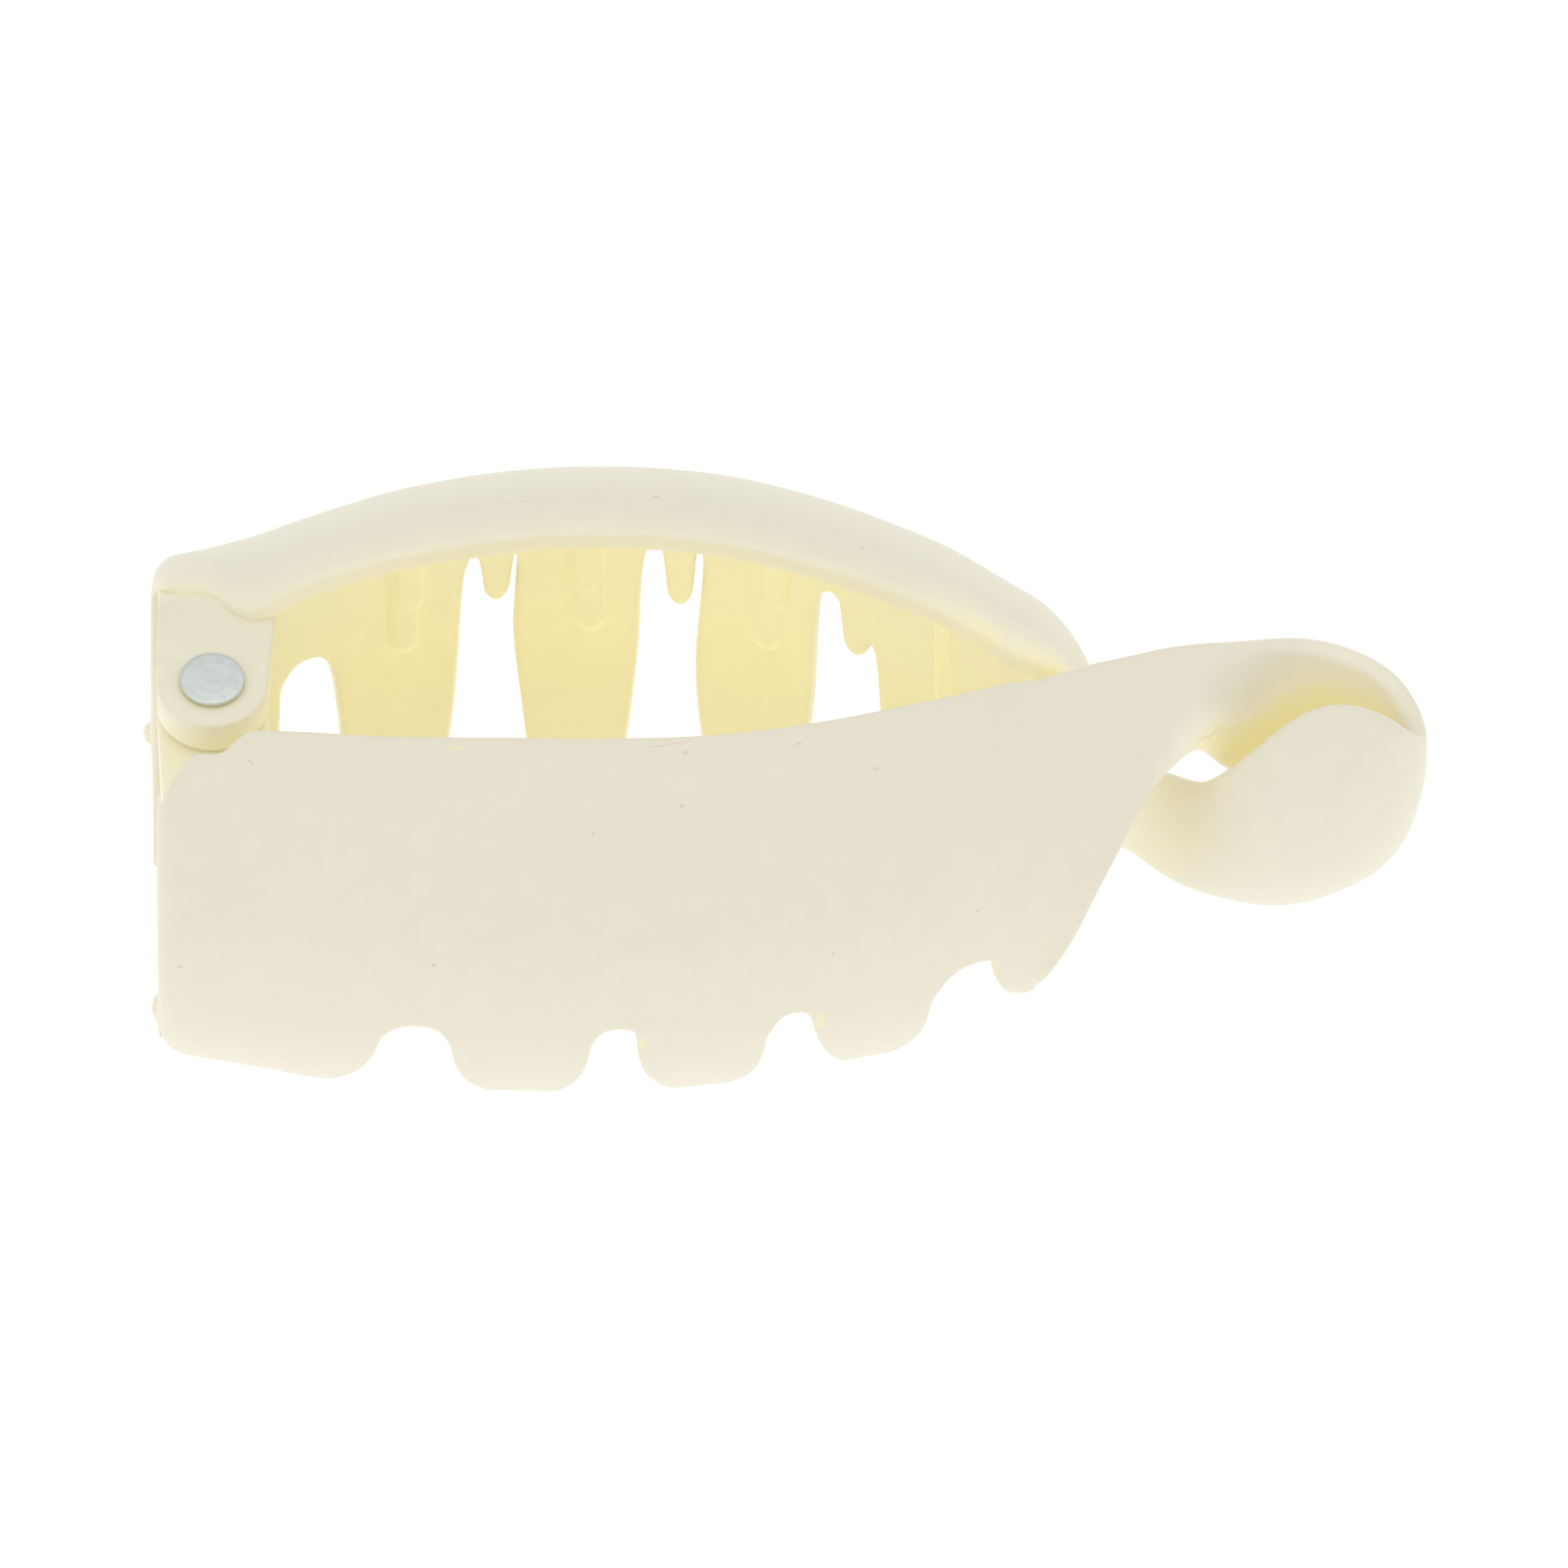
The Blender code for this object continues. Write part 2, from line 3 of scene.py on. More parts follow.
import bmesh
import bpy
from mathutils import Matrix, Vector


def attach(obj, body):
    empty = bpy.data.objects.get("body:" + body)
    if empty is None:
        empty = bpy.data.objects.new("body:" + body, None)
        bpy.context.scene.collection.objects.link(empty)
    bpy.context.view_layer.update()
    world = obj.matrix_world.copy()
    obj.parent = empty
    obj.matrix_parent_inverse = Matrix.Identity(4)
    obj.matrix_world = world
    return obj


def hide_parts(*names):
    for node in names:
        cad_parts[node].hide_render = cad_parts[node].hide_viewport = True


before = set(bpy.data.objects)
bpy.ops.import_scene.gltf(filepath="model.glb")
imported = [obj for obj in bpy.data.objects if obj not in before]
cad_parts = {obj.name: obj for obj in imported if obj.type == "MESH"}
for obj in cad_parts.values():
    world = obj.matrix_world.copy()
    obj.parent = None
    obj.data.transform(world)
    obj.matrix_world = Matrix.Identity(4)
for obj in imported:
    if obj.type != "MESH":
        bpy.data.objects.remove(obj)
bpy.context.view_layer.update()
print("packed clip loaded:", ", ".join(sorted(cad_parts)))

mm = 0.001
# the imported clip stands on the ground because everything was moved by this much, in mm
standingMove = Vector((-0.617, 0.006, -0.287))

# camera, light table and softboxes

shot = {
    "target": (-0.000617, 0.000006, 0.021013),
    "elevation": 52.0,
    "distance": 4.0,
    "viewWidth": 0.1344672,
    "sky": (1.0, 1.0, 1.0),
    "skyStrength": 0.76,
    "tableColour": (0.25, 0.25, 0.25, 1),
    "tableGlow": 0.9,
    # name, place in metres, size, watts
    "softboxes": [("overhead", (0.0, 0.15, 1.1), 1.2, 2.0),
                  ("left", (-0.9, -0.5, 0.7), 0.8, 0.8),
                  ("right", (0.9, -0.4, 0.6), 0.8, 0.5)],
}


def newMaterial(name):
    material = bpy.data.materials.new(name)
    material.use_nodes = True
    return material, material.node_tree, material.node_tree.nodes["Principled BSDF"]


def setUpShot():
    scene = bpy.context.scene
    camera = bpy.data.objects.new("camera", bpy.data.cameras.new("camera"))
    scene.collection.objects.link(camera)
    tilt = math.radians(shot["elevation"])
    back = Vector((0, -math.cos(tilt), math.sin(tilt)))
    camera.location = Vector(shot["target"]) + back * shot["distance"]
    camera.rotation_euler = (math.pi / 2 - tilt, 0, 0)
    camera.data.sensor_width = 36
    camera.data.lens = 36 * shot["distance"] / shot["viewWidth"]
    camera.data.clip_end = 20
    scene.camera = camera
    world = bpy.data.worlds.new("studio")
    world.use_nodes = True
    world.node_tree.nodes["Background"].inputs["Color"].default_value = (*shot["sky"], 1)
    world.node_tree.nodes["Background"].inputs["Strength"].default_value = shot["skyStrength"]
    scene.world = world
    for name, place, size, watts in shot["softboxes"]:
        light = bpy.data.lights.new(name, "AREA")
        light.size = size
        light.energy = watts
        box = bpy.data.objects.new(name, light)
        box.location = place
        box.rotation_euler = (-Vector(place)).to_track_quat("-Z", "Y").to_euler()
        scene.collection.objects.link(box)
    mesh = bmesh.new()
    bmesh.ops.create_circle(mesh, cap_ends=True, segments=96, radius=3.0)
    data = bpy.data.meshes.new("table")
    mesh.to_mesh(data)
    mesh.free()
    table = bpy.data.objects.new("table", data)
    scene.collection.objects.link(table)
    material, tree, shader = newMaterial("light_table")
    shader.inputs["Base Color"].default_value = shot["tableColour"]
    shader.inputs["Roughness"].default_value = 0.9
    shader.inputs["Emission Color"].default_value = (1, 1, 1, 1)
    shader.inputs["Emission Strength"].default_value = shot["tableGlow"]
    data.materials.append(material)
    scene.view_settings.view_transform = "Standard"
    scene.view_settings.look = "None"


setUpShot()
print("camera, table and softboxes placed")

# form of the two jaws, in mm before the standing move

jawForm = {
    "wall": 2.1,
    "backEnd": -54.3,
    "frontEnd": -53.6,
    "pinX": -48.9,
    "plateEnd": 20.0,
    "domeEnd": 28.4,
    "tipCrossing": 1.4,
    "endCorner": 1.6,
    "middleGap": 4.8,
    "frontWallSlope": 5.5,
    "ground": 0.32,       # lowest height of a jaw's outer face
    "edgeLine": 0.9,      # distance of the face line that keeps an edge's rounding tight
    "columnStep": 2.1,
    "topRows": 12,
    "toothRows": 12,
    "fingerRows": 5,
    "smoothing": 2,
    # place, distance of the axis from the middle plane, outer radius, height of the crest
    "sections": [(-53.9, 4.0, 18.0, 36.6), (-46.4, 4.7, 18.65, 37.4), (-39.5, 6.5, 18.9, 38.6),
                 (-32.5, 8.0, 19.1, 39.9), (-22.1, 9.0, 19.4, 41.3), (-14.4, 9.0, 19.6, 41.8),
                 (-7.4, 8.4, 19.6, 41.8), (-0.5, 6.9, 19.6, 41.5), (6.5, 4.8, 19.5, 40.9),
                 (12.7, 2.7, 19.3, 39.8), (16.2, 1.1, 18.9, 38.8), (20.0, -0.8, 18.4, 37.5),
                 (28.4, -0.7, 18.4, 37.3)],
    # place and what each jaw adds to the distance and the radius
    "backTrim": [(-53.9, 0.02, 0.1), (-50.0, 0.05, 0.25), (-46.7, 0.14, 0.7), (-32.0, 0.16, 0.82),
                 (-24.0, 0.12, 0.58), (-17.0, 0.06, 0.32), (-9.0, 0.04, 0.2), (-3.0, 0.09, 0.42),
                 (5.0, 0.06, 0.3), (12.0, 0.03, 0.15), (16.0, 0.11, 0.58), (19.6, 0.19, 0.96),
                 (22.9, 0.0, -0.2), (28.4, 0.0, -0.3)],
    "frontTrim": [(-53.9, 0.0, 0.1), (-50.7, 0.0, 0.08), (-48.0, 0.0, 0.22), (-45.0, 0.0, 0.26),
                  (-41.5, 0.0, 0.22), (-37.0, 0.0, 0.17), (20.0, 0.0, 0.2)],
    "arcStep": 0.3386,    # way round the wall for each degree
    "fingerRound": 3.6,   # degrees by which a finger's and a tooth's edges end before the middle
    "toothRound": 9.0,
    "dipShare": 0.22,     # share of the way to the root over which the rim's dip fades
    "sharpest": 1.5,      # how far a corner may stand out to keep the wall's thickness
    "domeTurns": (10, 20, 30, 40, 50, 60, 70, 80, 90),
}
plateInset = jawForm["wall"] / 2 + jawForm["endCorner"]    # from a jaw's end to its first column

# each tooth gives its left and right edge as angles round the section and places along X;
# the rim is the angle from the crest at which the jaw's upper edge runs
backComb = {
    "side": 1,
    "rim": [(-53.9, 33.0), (-53.0, 27.0), (-52.0, 22.5), (-50.5, 20.0), (-48.8, 17.5), (-48.2, 14.0),
            (-46.8, 8.0), (-45.5, 5.5), (-44.5, 5.0), (-43.0, 5.5), (-41.0, 6.0)],
    "endRims": (33.0, 27.0, 21.0),    # the same where the end wall turns in
    # how far the rim sinks towards the ear's top
    "rimDip": [(-53.9, 0.0), (-51.0, 0.35), (-49.0, 0.75), (-45.0, 0.9), (-43.8, 0.75),
               (-42.3, 0.2), (-40.5, 0.0)],
    "teeth": [
        {"name": "heel", "step": 1.0, "left": [(0, jawForm["backEnd"] + plateInset)],
         "right": [(120, -43.4), (140, -43.55), (172, -44.5)], "tipAngle": 172.0},
        {"name": "first",
         "left": [(119, -39.5), (126, -39.05), (130, -38.85), (134, -38.65), (142, -38.4), (200, -36.4)],
         "right": [(96.5, -26.7), (100, -27.3), (104, -27.6), (107, -27.68), (122, -27.95),
                   (135.5, -28.25), (148.4, -28.75), (200, -31.7)]},
        {"name": "second",
         "left": [(107, -23.05), (112, -23.3), (118.4, -23.55), (124, -23.45), (137.8, -22.9),
                  (151, -22.3), (200, -20.4)],
         "right": [(96, -11.3), (99.5, -11.85), (103, -12.1), (107, -12.25), (125, -12.4),
                   (138.4, -12.85), (151.4, -13.45), (200, -16.0)]},
        {"name": "third",
         "left": [(104, -6.95), (113, -7.2), (118, -7.4), (124, -7.62), (131, -7.75), (137, -7.7),
                  (143.5, -7.55), (150, -7.2), (200, -4.8)],
         "right": [(105, 3.15), (116, 2.92), (127, 2.8), (134, 2.66), (140, 2.46), (200, -0.7)]},
        {"name": "toe", "left": [(113, 7.9), (117, 7.96), (121, 8.1), (131, 8.3), (184, 8.8)],
         "right": [(0, 20.0)], "tipAngle": 184},
    ],
    "gaps": [
        {"angle": 119.2, "leftDrop": 6, "rightDrop": 4},
        {"angle": 97.3, "leftDrop": 4, "rightDrop": 4, "finger": (-24.78, 113), "fingerRoot": 3.2},
        {"angle": 95.4, "leftDrop": 4.5, "rightDrop": 3, "finger": (-8.95, 115.8), "fingerRoot": 3.2},
        {"angle": 100.8, "leftDrop": 4, "rightDrop": 2, "finger": (6.4, 118.6), "fingerRoot": 3.1,
         "rightRoot": 113.0},
    ],
    # places of the ribs inside: upper step, lower step, size
    "ribs": [(-32.4, -32.8, 1.0), (-17.0, -16.7, 1.0), (-1.04, -1.46, 1.0), (13.9, 13.95, 0.4)],
}
frontComb = {
    "side": -1,
    "rim": [(-53.9, 33.0), (-53.0, 25.0), (-51.9, 17.3), (-50.5, 12.9), (-48.8, 12.3), (-47.6, 12.0),
            (-46.6, 7.6), (-45.7, 4.9), (-44.8, 4.3), (-42.0, 3.5), (-39.5, 2.95), (-25.0, 3.1), (-16.0, 4.4),
            (-9.0, 5.4), (5.0, 7.2), (12.0, 6.2), (20.0, 5.45)],
    "endRims": (30.0, 24.5, 20.0),
    "teeth": [
        {"name": "heel", "step": 1.0, "left": [(0, jawForm["frontEnd"] + plateInset)],
         "right": [(88, -33.6), (90.5, -34.25), (96, -34.5), (99, -34.65), (103, -34.95), (107, -35.45),
                   (112, -36.2), (118, -37.4), (124, -38.5), (135, -39.2), (206, -39.8)],
         "outline": [(0.0, 172.0), (0.5, 172.0), (0.66, 190.0), (0.77, 203.0), (0.89, 206.5),
                     (1.0, 199.0)]},
        {"name": "second",
         "left": [(88, -28.6), (91, -28.55), (96.7, -28.45), (106, -28.1), (112, -27.6), (120, -26.2),
                  (128, -25.4), (135, -25.2), (204, -25.0)],
         "right": [(88, -15.9), (91, -16.35), (96, -16.45), (99.5, -16.55), (103, -16.75), (107, -17.05),
                   (112, -17.5), (120, -18.8), (128, -19.6), (135, -20.2), (204, -21.0)]},
        {"name": "third",
         "left": [(86, -12.65), (90, -12.7), (99.5, -12.6), (103, -12.5), (107, -12.3), (112, -11.7),
                  (120, -10.45), (128, -9.6), (135, -9.0), (204, -8.4)],
         "right": [(88, -1.2), (92, -1.42), (98, -1.62), (105, -1.72), (109, -1.92), (115, -2.7), (122, -3.8),
                   (128, -4.5), (135, -5.0), (204, -6.0)]},
        {"name": "fourth",
         "left": [(88, 2.2), (96, 2.3), (102, 2.68), (106, 2.85), (111, 3.3), (118, 4.0), (128, 5.1),
                  (135, 5.6), (204, 6.2)],
         "right": [(88, 12.9), (93, 12.45), (99, 12.35), (103, 12.25), (107, 12.0), (112, 11.3), (120, 10.1),
                   (128, 9.3), (135, 9.0), (204, 8.3)]},
        {"name": "toe", "step": 1.3, "left": [(87, 17.8), (98, 18.0), (108, 18.8)], "right": [(0, 21.7)],
         "outline": [(0.0, 105.0), (0.2, 107.3), (0.5, 109.0), (0.8, 106.9), (1.0, 103.8)],
         "rows": 2, "lastRoot": 103.2},
    ],
    "gaps": [{"angle": 85.6, "leftDrop": 6, "rightDrop": 6},
             {"angle": 85.8, "leftDrop": 5, "rightDrop": 1.5},
             {"angle": 86.9, "leftDrop": 7, "rightDrop": 4.5},
             {"angle": 84.2, "leftDrop": 9, "rightDrop": 4}],
    "ribs": [(-22.9, -22.85, 1.0), (-7.5, -7.45, 1.0), (7.3, 7.35, 1.0)],
}
fingerTip = 2.0
# columns across a gap: share of its breadth, share of the drop towards its corner
openGap = ((0.18, 0.3), (0.42, 0), (0.68, 0), (0.88, 0.25))
beforeFinger, afterFinger = ((0.25, 0.3), (0.7, 0)), (0.35, 0.75)
acrossFinger = (0.0, 0.25, 0.5, 0.75, 1.0)

# the loop's ribbon: upper edge, lower edge, bulge between them
loopRibbon = [
    ((23.2, -0.3, 36.95), (23.4, -17.4, 17.8), (0.0, -2.8, 2.6)),
    ((26.3, 1.5, 36.05), (26.4, -14.9, 24.2), (0.0, -1.3, 1.9)),
    ((29.5, 2.8, 35.4), (29.0, -11.4, 28.0), (0.0, -0.6, 1.1)),
    ((32.2, 3.7, 35.25), (31.1, -8.0, 30.1), (0.0, -0.3, 0.8)),
    ((34.4, 4.3, 35.0), (33.0, -5.9, 30.85), (0.0, -0.2, 0.6)),
    ((37.1, 4.9, 34.75), (35.4, -3.4, 30.7), (0.0, -0.1, 0.5)),
    ((39.9, 5.4, 34.5), (37.9, -1.6, 25.3), (0.0, -0.4, 0.3)),
    ((43.3, 5.6, 34.2), (40.8, 1.1, 20.2), (0.0, 0.1, 0.2)),
    ((46.8, 5.6, 33.4), (44.6, 2.0, 17.1), (0.0, 0.3, 0.1)),
    ((50.1, 5.0, 32.0), (48.4, 1.9, 16.3), (0.1, 0.4, 0.0)),
    ((52.2, 3.6, 30.9), (51.2, 2.0, 15.1), (0.4, 0.4, 0.0)),
    ((53.6, 1.6, 29.5), (52.7, 1.0, 14.6), (0.6, 0.0, 0.0)),
    ((54.0, -0.2, 28.6), (52.2, -0.6, 14.4), (0.7, 0.0, 0.0)),
    ((53.5, -1.4, 30.4), (51.1, -2.1, 14.2), (0.7, -1.4, 0.0)),
    ((51.5, -1.6, 32.9), (49.6, -3.6, 14.1), (0.4, -3.1, 0.0)),
    ((48.3, -1.2, 34.1), (47.2, -4.4, 13.3), (0.0, -4.3, 0.0)),
    ((44.8, -1.8, 33.95), (44.0, -4.9, 12.3), (0.0, -4.6, 0.0)),
    ((41.7, -3.3, 32.4), (40.7, -5.3, 12.7), (0.0, -4.0, 0.0)),
    ((38.3, -4.2, 29.0), (37.6, -5.6, 14.0), (0.0, -2.8, 0.0)),
    ((35.6, -3.2, 25.6), (34.8, -5.6, 15.0), (0.0, -1.5, 0.0)),
    ((32.9, -1.2, 24.5), (31.9, -4.9, 16.1), (0.0, -0.8, 0.0)),
    ((30.3, -1.7, 25.0), (28.5, -4.3, 18.8), (0.0, -0.4, 0.0)),
    ((27.8, -6.1, 24.9), (26.2, -7.5, 19.6), (0.0, 0.0, 0.0)),
    ((25.1, -10.8, 24.3), (24.8, -12.0, 18.6), (0.0, 0.0, 0.0)),
    ((22.9, -14.0, 23.7), (22.7, -14.7, 18.2), (0.0, 0.0, 0.0)),
    ((20.8, -16.5, 23.2), (20.7, -16.8, 18.0), (0.0, 0.0, 0.0)),
]
loopSteps = 2
loopTurn = 12.5    # station at which the ribbon turns back
strandMarks = (100, 200)    # where the layout of the outgoing and the returning strand counts from
loopEdge = 1.5    # distance of the line that keeps the ribbon's edges round


def smoothCurve(rows, at, column=1):
    # smooth curve through a table's rows, flat beyond its ends
    if at <= rows[0][0]:
        return rows[0][column]
    if at >= rows[-1][0]:
        return rows[-1][column]
    i = max(k for k in range(len(rows) - 1) if rows[k][0] <= at)

    def slope(k):
        low, high = max(k - 1, 0), min(k + 1, len(rows) - 1)
        return (rows[high][column] - rows[low][column]) / (rows[high][0] - rows[low][0])

    span = rows[i + 1][0] - rows[i][0]
    t = (at - rows[i][0]) / span
    return ((2 * t**3 - 3 * t**2 + 1) * rows[i][column] + (t**3 - 2 * t**2 + t) * span * slope(i)
            + (3 * t**2 - 2 * t**3) * rows[i + 1][column] + (t**3 - t**2) * span * slope(i + 1))


def section(side, x):
    # distance of the axis from the middle plane, outer radius and height of the crest
    offset, radius, crest = (smoothCurve(jawForm["sections"], x, column) for column in (1, 2, 3))
    trim = jawForm["backTrim"] if side > 0 else jawForm["frontTrim"]
    return offset + smoothCurve(trim, x, 1), radius + smoothCurve(trim, x, 2), crest


def shellPoint(side, x, angle, inset=None):
    # point of a jaw's wall; side is 1 for the back jaw and -1 for the front one
    inset = jawForm["wall"] / 2 if inset is None else inset
    offset, radius, crest = section(side, x)
    reach = radius - inset
    turn = math.radians(angle)
    rise = reach * math.cos(turn)
    if rise < 0:
        # the lower half is flattened where a full circle would dip below the table
        rise *= min(1, (crest - radius - jawForm["ground"]) / radius)
    return Vector((x, side * (offset + reach * math.sin(turn)), crest - radius + rise))


def shares(length, step, start=True, end=True):
    # even shares of a length, with a close line beside each open edge
    edge = jawForm["edgeLine"] / length
    low, high = (edge if start else 0), (1 - edge if end else 1)
    count = max(2, round((high - low) * length / step))
    inner = [low + (high - low) * k / count for k in range(count + 1)]
    return ([0.0] if start else []) + inner + ([1.0] if end else [])


topShares = shares(28.0, 28.0 / (jawForm["topRows"] - 2))
toothShares = shares(32.0, 32.0 / (jawForm["toothRows"] - 1), start=False)
topRows, toothRows = len(topShares) - 1, len(toothShares) - 1


def combColumns(comb):
    # columns of a jaw's grid: place, root angle, tooth, share across it, open to the next column
    teeth, gaps, columns = comb["teeth"], comb["gaps"], []
    for number, tooth in enumerate(teeth):
        left = gaps[number - 1] if number else None
        right = gaps[number] if number < len(gaps) else None
        leftRoot = right["angle"] + right["leftDrop"] if right else 0
        if left:
            leftRoot = left.get("rightRoot", left["angle"]) + left["rightDrop"]
        rightRoot = right["angle"] + right["leftDrop"] if right else leftRoot
        if "lastRoot" in tooth:
            rightRoot = tooth["lastRoot"]
        start, end = smoothCurve(tooth["left"], leftRoot), smoothCurve(tooth["right"], rightRoot)
        last = number == len(gaps)
        step = tooth.get("step", jawForm["columnStep"])
        for share in shares(end - start, step, start=number > 0, end=not last):
            columns.append({"x": start + (end - start) * share,
                            "root": leftRoot + (rightRoot - leftRoot) * share,
                            "tooth": tooth, "share": share, "open": False})
        if last:
            break
        columns[-1]["open"] = True
        far = right.get("rightRoot", right["angle"])
        start, end = end, smoothCurve(teeth[number + 1]["left"], far + right["rightDrop"])
        if "finger" not in right:
            for share, drop in openGap:
                side = "leftDrop" if share < 0.5 else "rightDrop"
                columns.append({"x": start + (end - start) * share,
                                "root": right["angle"] + right[side] * drop,
                                "tooth": None, "share": 0, "open": True})
            continue
        middle, tip = right["finger"]
        wide = right["fingerRoot"]
        finger = {"name": "finger", "tipAngle": tip, "rows": jawForm["fingerRows"],
                  "left": [(right["angle"], middle - wide / 2), (tip, middle - fingerTip / 2)],
                  "right": [(right["angle"], middle + wide / 2), (tip, middle + fingerTip / 2)]}
        for share, drop in beforeFinger:
            columns.append({"x": start + (middle - wide / 2 - start) * share,
                            "root": right["angle"] - 1 + right["leftDrop"] * drop,
                            "tooth": None, "share": 0, "open": True})
        for share in acrossFinger:
            root = right["angle"] + 1 + (far - right["angle"]) * max(share - 0.3, 0) / 0.7
            edge = smoothCurve(finger["right"], root) - middle
            x = middle - wide / 2 + (wide / 2 + edge) * share
            columns.append({"x": x, "root": root, "tooth": finger, "share": share,
                            "open": share == 1.0})
        start = columns[-1]["x"]
        for share in afterFinger:
            columns.append({"x": start + (end - start) * share, "root": far + share, "tooth": None,
                            "share": 0, "open": True})
    return columns


def toothTip(side, tooth, share, x):
    # angle at which a tooth ends, rounded towards its two edges
    if "outline" in tooth:
        return smoothCurve(tooth["outline"], share)
    if tooth["name"] in ("heel", "toe"):
        return tooth["tipAngle"]
    if tooth["name"] == "finger":
        return tooth["tipAngle"] - jawForm["fingerRound"] * (2 * share - 1) ** 2
    offset, radius, crest = section(side, x)
    crossing = math.asin((offset + jawForm["tipCrossing"]) / (radius - jawForm["wall"] / 2))
    return 180 + math.degrees(crossing) - jawForm["toothRound"] * abs(2 * share - 1) ** 3


def jawLine(side, column, rim=None):
    # points of one column from the rim to the tip, each with its angle
    if rim is None:
        rim = smoothCurve((backComb if side > 0 else frontComb)["rim"], column["x"])
    dip = smoothCurve(backComb["rimDip"], column["x"]) if side > 0 else 0.0
    line = []
    for share in topShares:
        angle = rim + (column["root"] - rim) * share
        inset = jawForm["wall"] / 2 + dip * max(1 - share / jawForm["dipShare"], 0) ** 2
        line.append((shellPoint(side, column["x"], angle, inset), angle))
    tooth, share = column["tooth"], column["share"]
    if tooth is None:
        return line + [line[-1]] * toothRows
    tip = toothTip(side, tooth, share, column["x"])
    rows = tooth.get("rows", toothRows)
    for row in range(1, toothRows + 1):
        down = toothShares[row] if rows == toothRows else min(row / rows, 1)
        angle = column["root"] + (tip - column["root"]) * down
        left, right = smoothCurve(tooth["left"], angle), smoothCurve(tooth["right"], angle)
        line.append((shellPoint(side, left + (right - left) * share, angle), angle))
    return line


def endWallLines(side, column):
    # columns that turn the hinge end of a jaw inwards and close it with a flat wall
    offset, radius, crest = section(side, column["x"])
    face = jawForm["backEnd" if side > 0 else "frontEnd"] + jawForm["wall"] / 2
    corner, last = jawForm["endCorner"], topRows + toothRows
    wallRim, cornerRim, turnRim = (backComb if side > 0 else frontComb)["endRims"]
    lines = []
    for width, turn, rim in ((1, 90, wallRim), (0.93, 90, wallRim), (0.75, 90, wallRim),
                             (0.55, 90, wallRim), (0.35, 90, wallRim), (0.15, 90, wallRim),
                             (0, 90, wallRim), (0, 60, cornerRim), (0, 30, turnRim)):
        turned = math.radians(turn)
        x = face + corner * (1 - math.sin(turned))
        line = []
        for point, angle in jawLine(side, column, rim):
            outward = Vector((0, point.y - side * offset, point.z - crest + radius))
            outward.length -= corner * (1 - math.cos(turned))
            line.append((Vector((x, outward.y + side * offset, crest - radius + outward.z)), angle))
        top, bottom = line[0][0].z - (jawForm["frontWallSlope"] if side < 0 else 0), line[-1][0].z
        for row in range(last + 1):
            inner = Vector((x, side * jawForm["middleGap"], top + (bottom - top) * row / last))
            line[row] = (line[row][0].lerp(inner, width), line[row][1])
        lines.append(line)
    return lines


def domeLines(toe):
    # columns that close the back jaw's far end like a quarter of a ball
    offset, radius, crest = section(1, jawForm["plateEnd"])
    spokes = [(Vector((0, point.y - offset, point.z - crest + radius)).normalized(), angle)
              for point, angle in jawLine(1, toe)]
    lines = []
    for turn in jawForm["domeTurns"]:
        turned = math.radians(turn)
        depth = jawForm["domeEnd"] - jawForm["wall"] / 2 - jawForm["plateEnd"]
        x = jawForm["plateEnd"] + depth * math.sin(turned)
        offset, radius, crest = section(1, x)
        reach = math.cos(turned) * (radius - jawForm["wall"] / 2)
        centre = Vector((x, offset, crest - radius))
        lines.append([(centre + spoke * reach, angle) for spoke, angle in spokes])
    return lines


def loopLines():
    # columns of the loop's ribbon, each an arc from its upper to its lower edge
    lines = []
    for k in range((len(loopRibbon) - 1) * loopSteps + 1):
        upper, lower, bulge = (
            Vector([smoothCurve([(n, row[part][axis]) for n, row in enumerate(loopRibbon)], k / loopSteps)
                    for axis in range(3)]) for part in range(3))
        height = (upper - lower).length
        edge = min(loopEdge / height, 0.2)
        down = [0.0] + [edge + (1 - 2 * edge) * n / (topRows - 2) for n in range(topRows - 1)] + [1.0]
        lines.append([(upper.lerp(lower, share) + bulge * (1 - (2 * share - 1) ** 2), share * height)
                      for share in down])
    return lines


def cleaned(mesh, distance):
    bmesh.ops.remove_doubles(mesh, verts=mesh.verts, dist=distance)
    bmesh.ops.recalc_face_normals(mesh, faces=mesh.faces)


def moulded(name, mesh):
    # a finished mesh in mm goes to its place in metres
    for vert in mesh.verts:
        vert.co = (vert.co + standingMove) * mm
    data = bpy.data.meshes.new(name)
    mesh.to_mesh(data)
    mesh.free()
    data.shade_smooth()
    made = bpy.data.objects.new(name, data)
    bpy.context.scene.collection.objects.link(made)
    return made


# painted yellow tint and painted glow standing in for light that comes through the jaws' plastic and for the
# shade inside them; the first two say how strongly the inside yellows
jawLight = {
    "byAngle": [(0, 0.6), (60, 0.7), (95, 0.8), (112, 0.9), (125, 1.0), (140, 0.85), (200, 0.75)],
    "byPlace": [(-53, 0.6), (-43, 0.62), (-38, 0.84), (-30, 1.0), (2, 1.0), (8, 0.85), (28, 0.7)],
    # painted glow on the back jaw's rim, by place, and the same a little way down its outside
    "rim": [(10, 0.38), (15, 0.55), (28, 0.55)],
    "belowRim": [(10, 0.15), (16, 0.45), (28, 0.45)],
    "rimBand": 0.05,
    # paler painted light inside near the hinge end, and painted glow on the end walls
    "hingeEnd": [(-53, 0.32), (-44, 0.34), (-38, 0.13), (-31, 0.0)],    # paler light
    "endWall": 0.15,
    "endMargin": 0.1,
    "edges": 0.85,        # share of it at the inner edges of the teeth, up to a place along X
    "edgesEnd": 10,
}
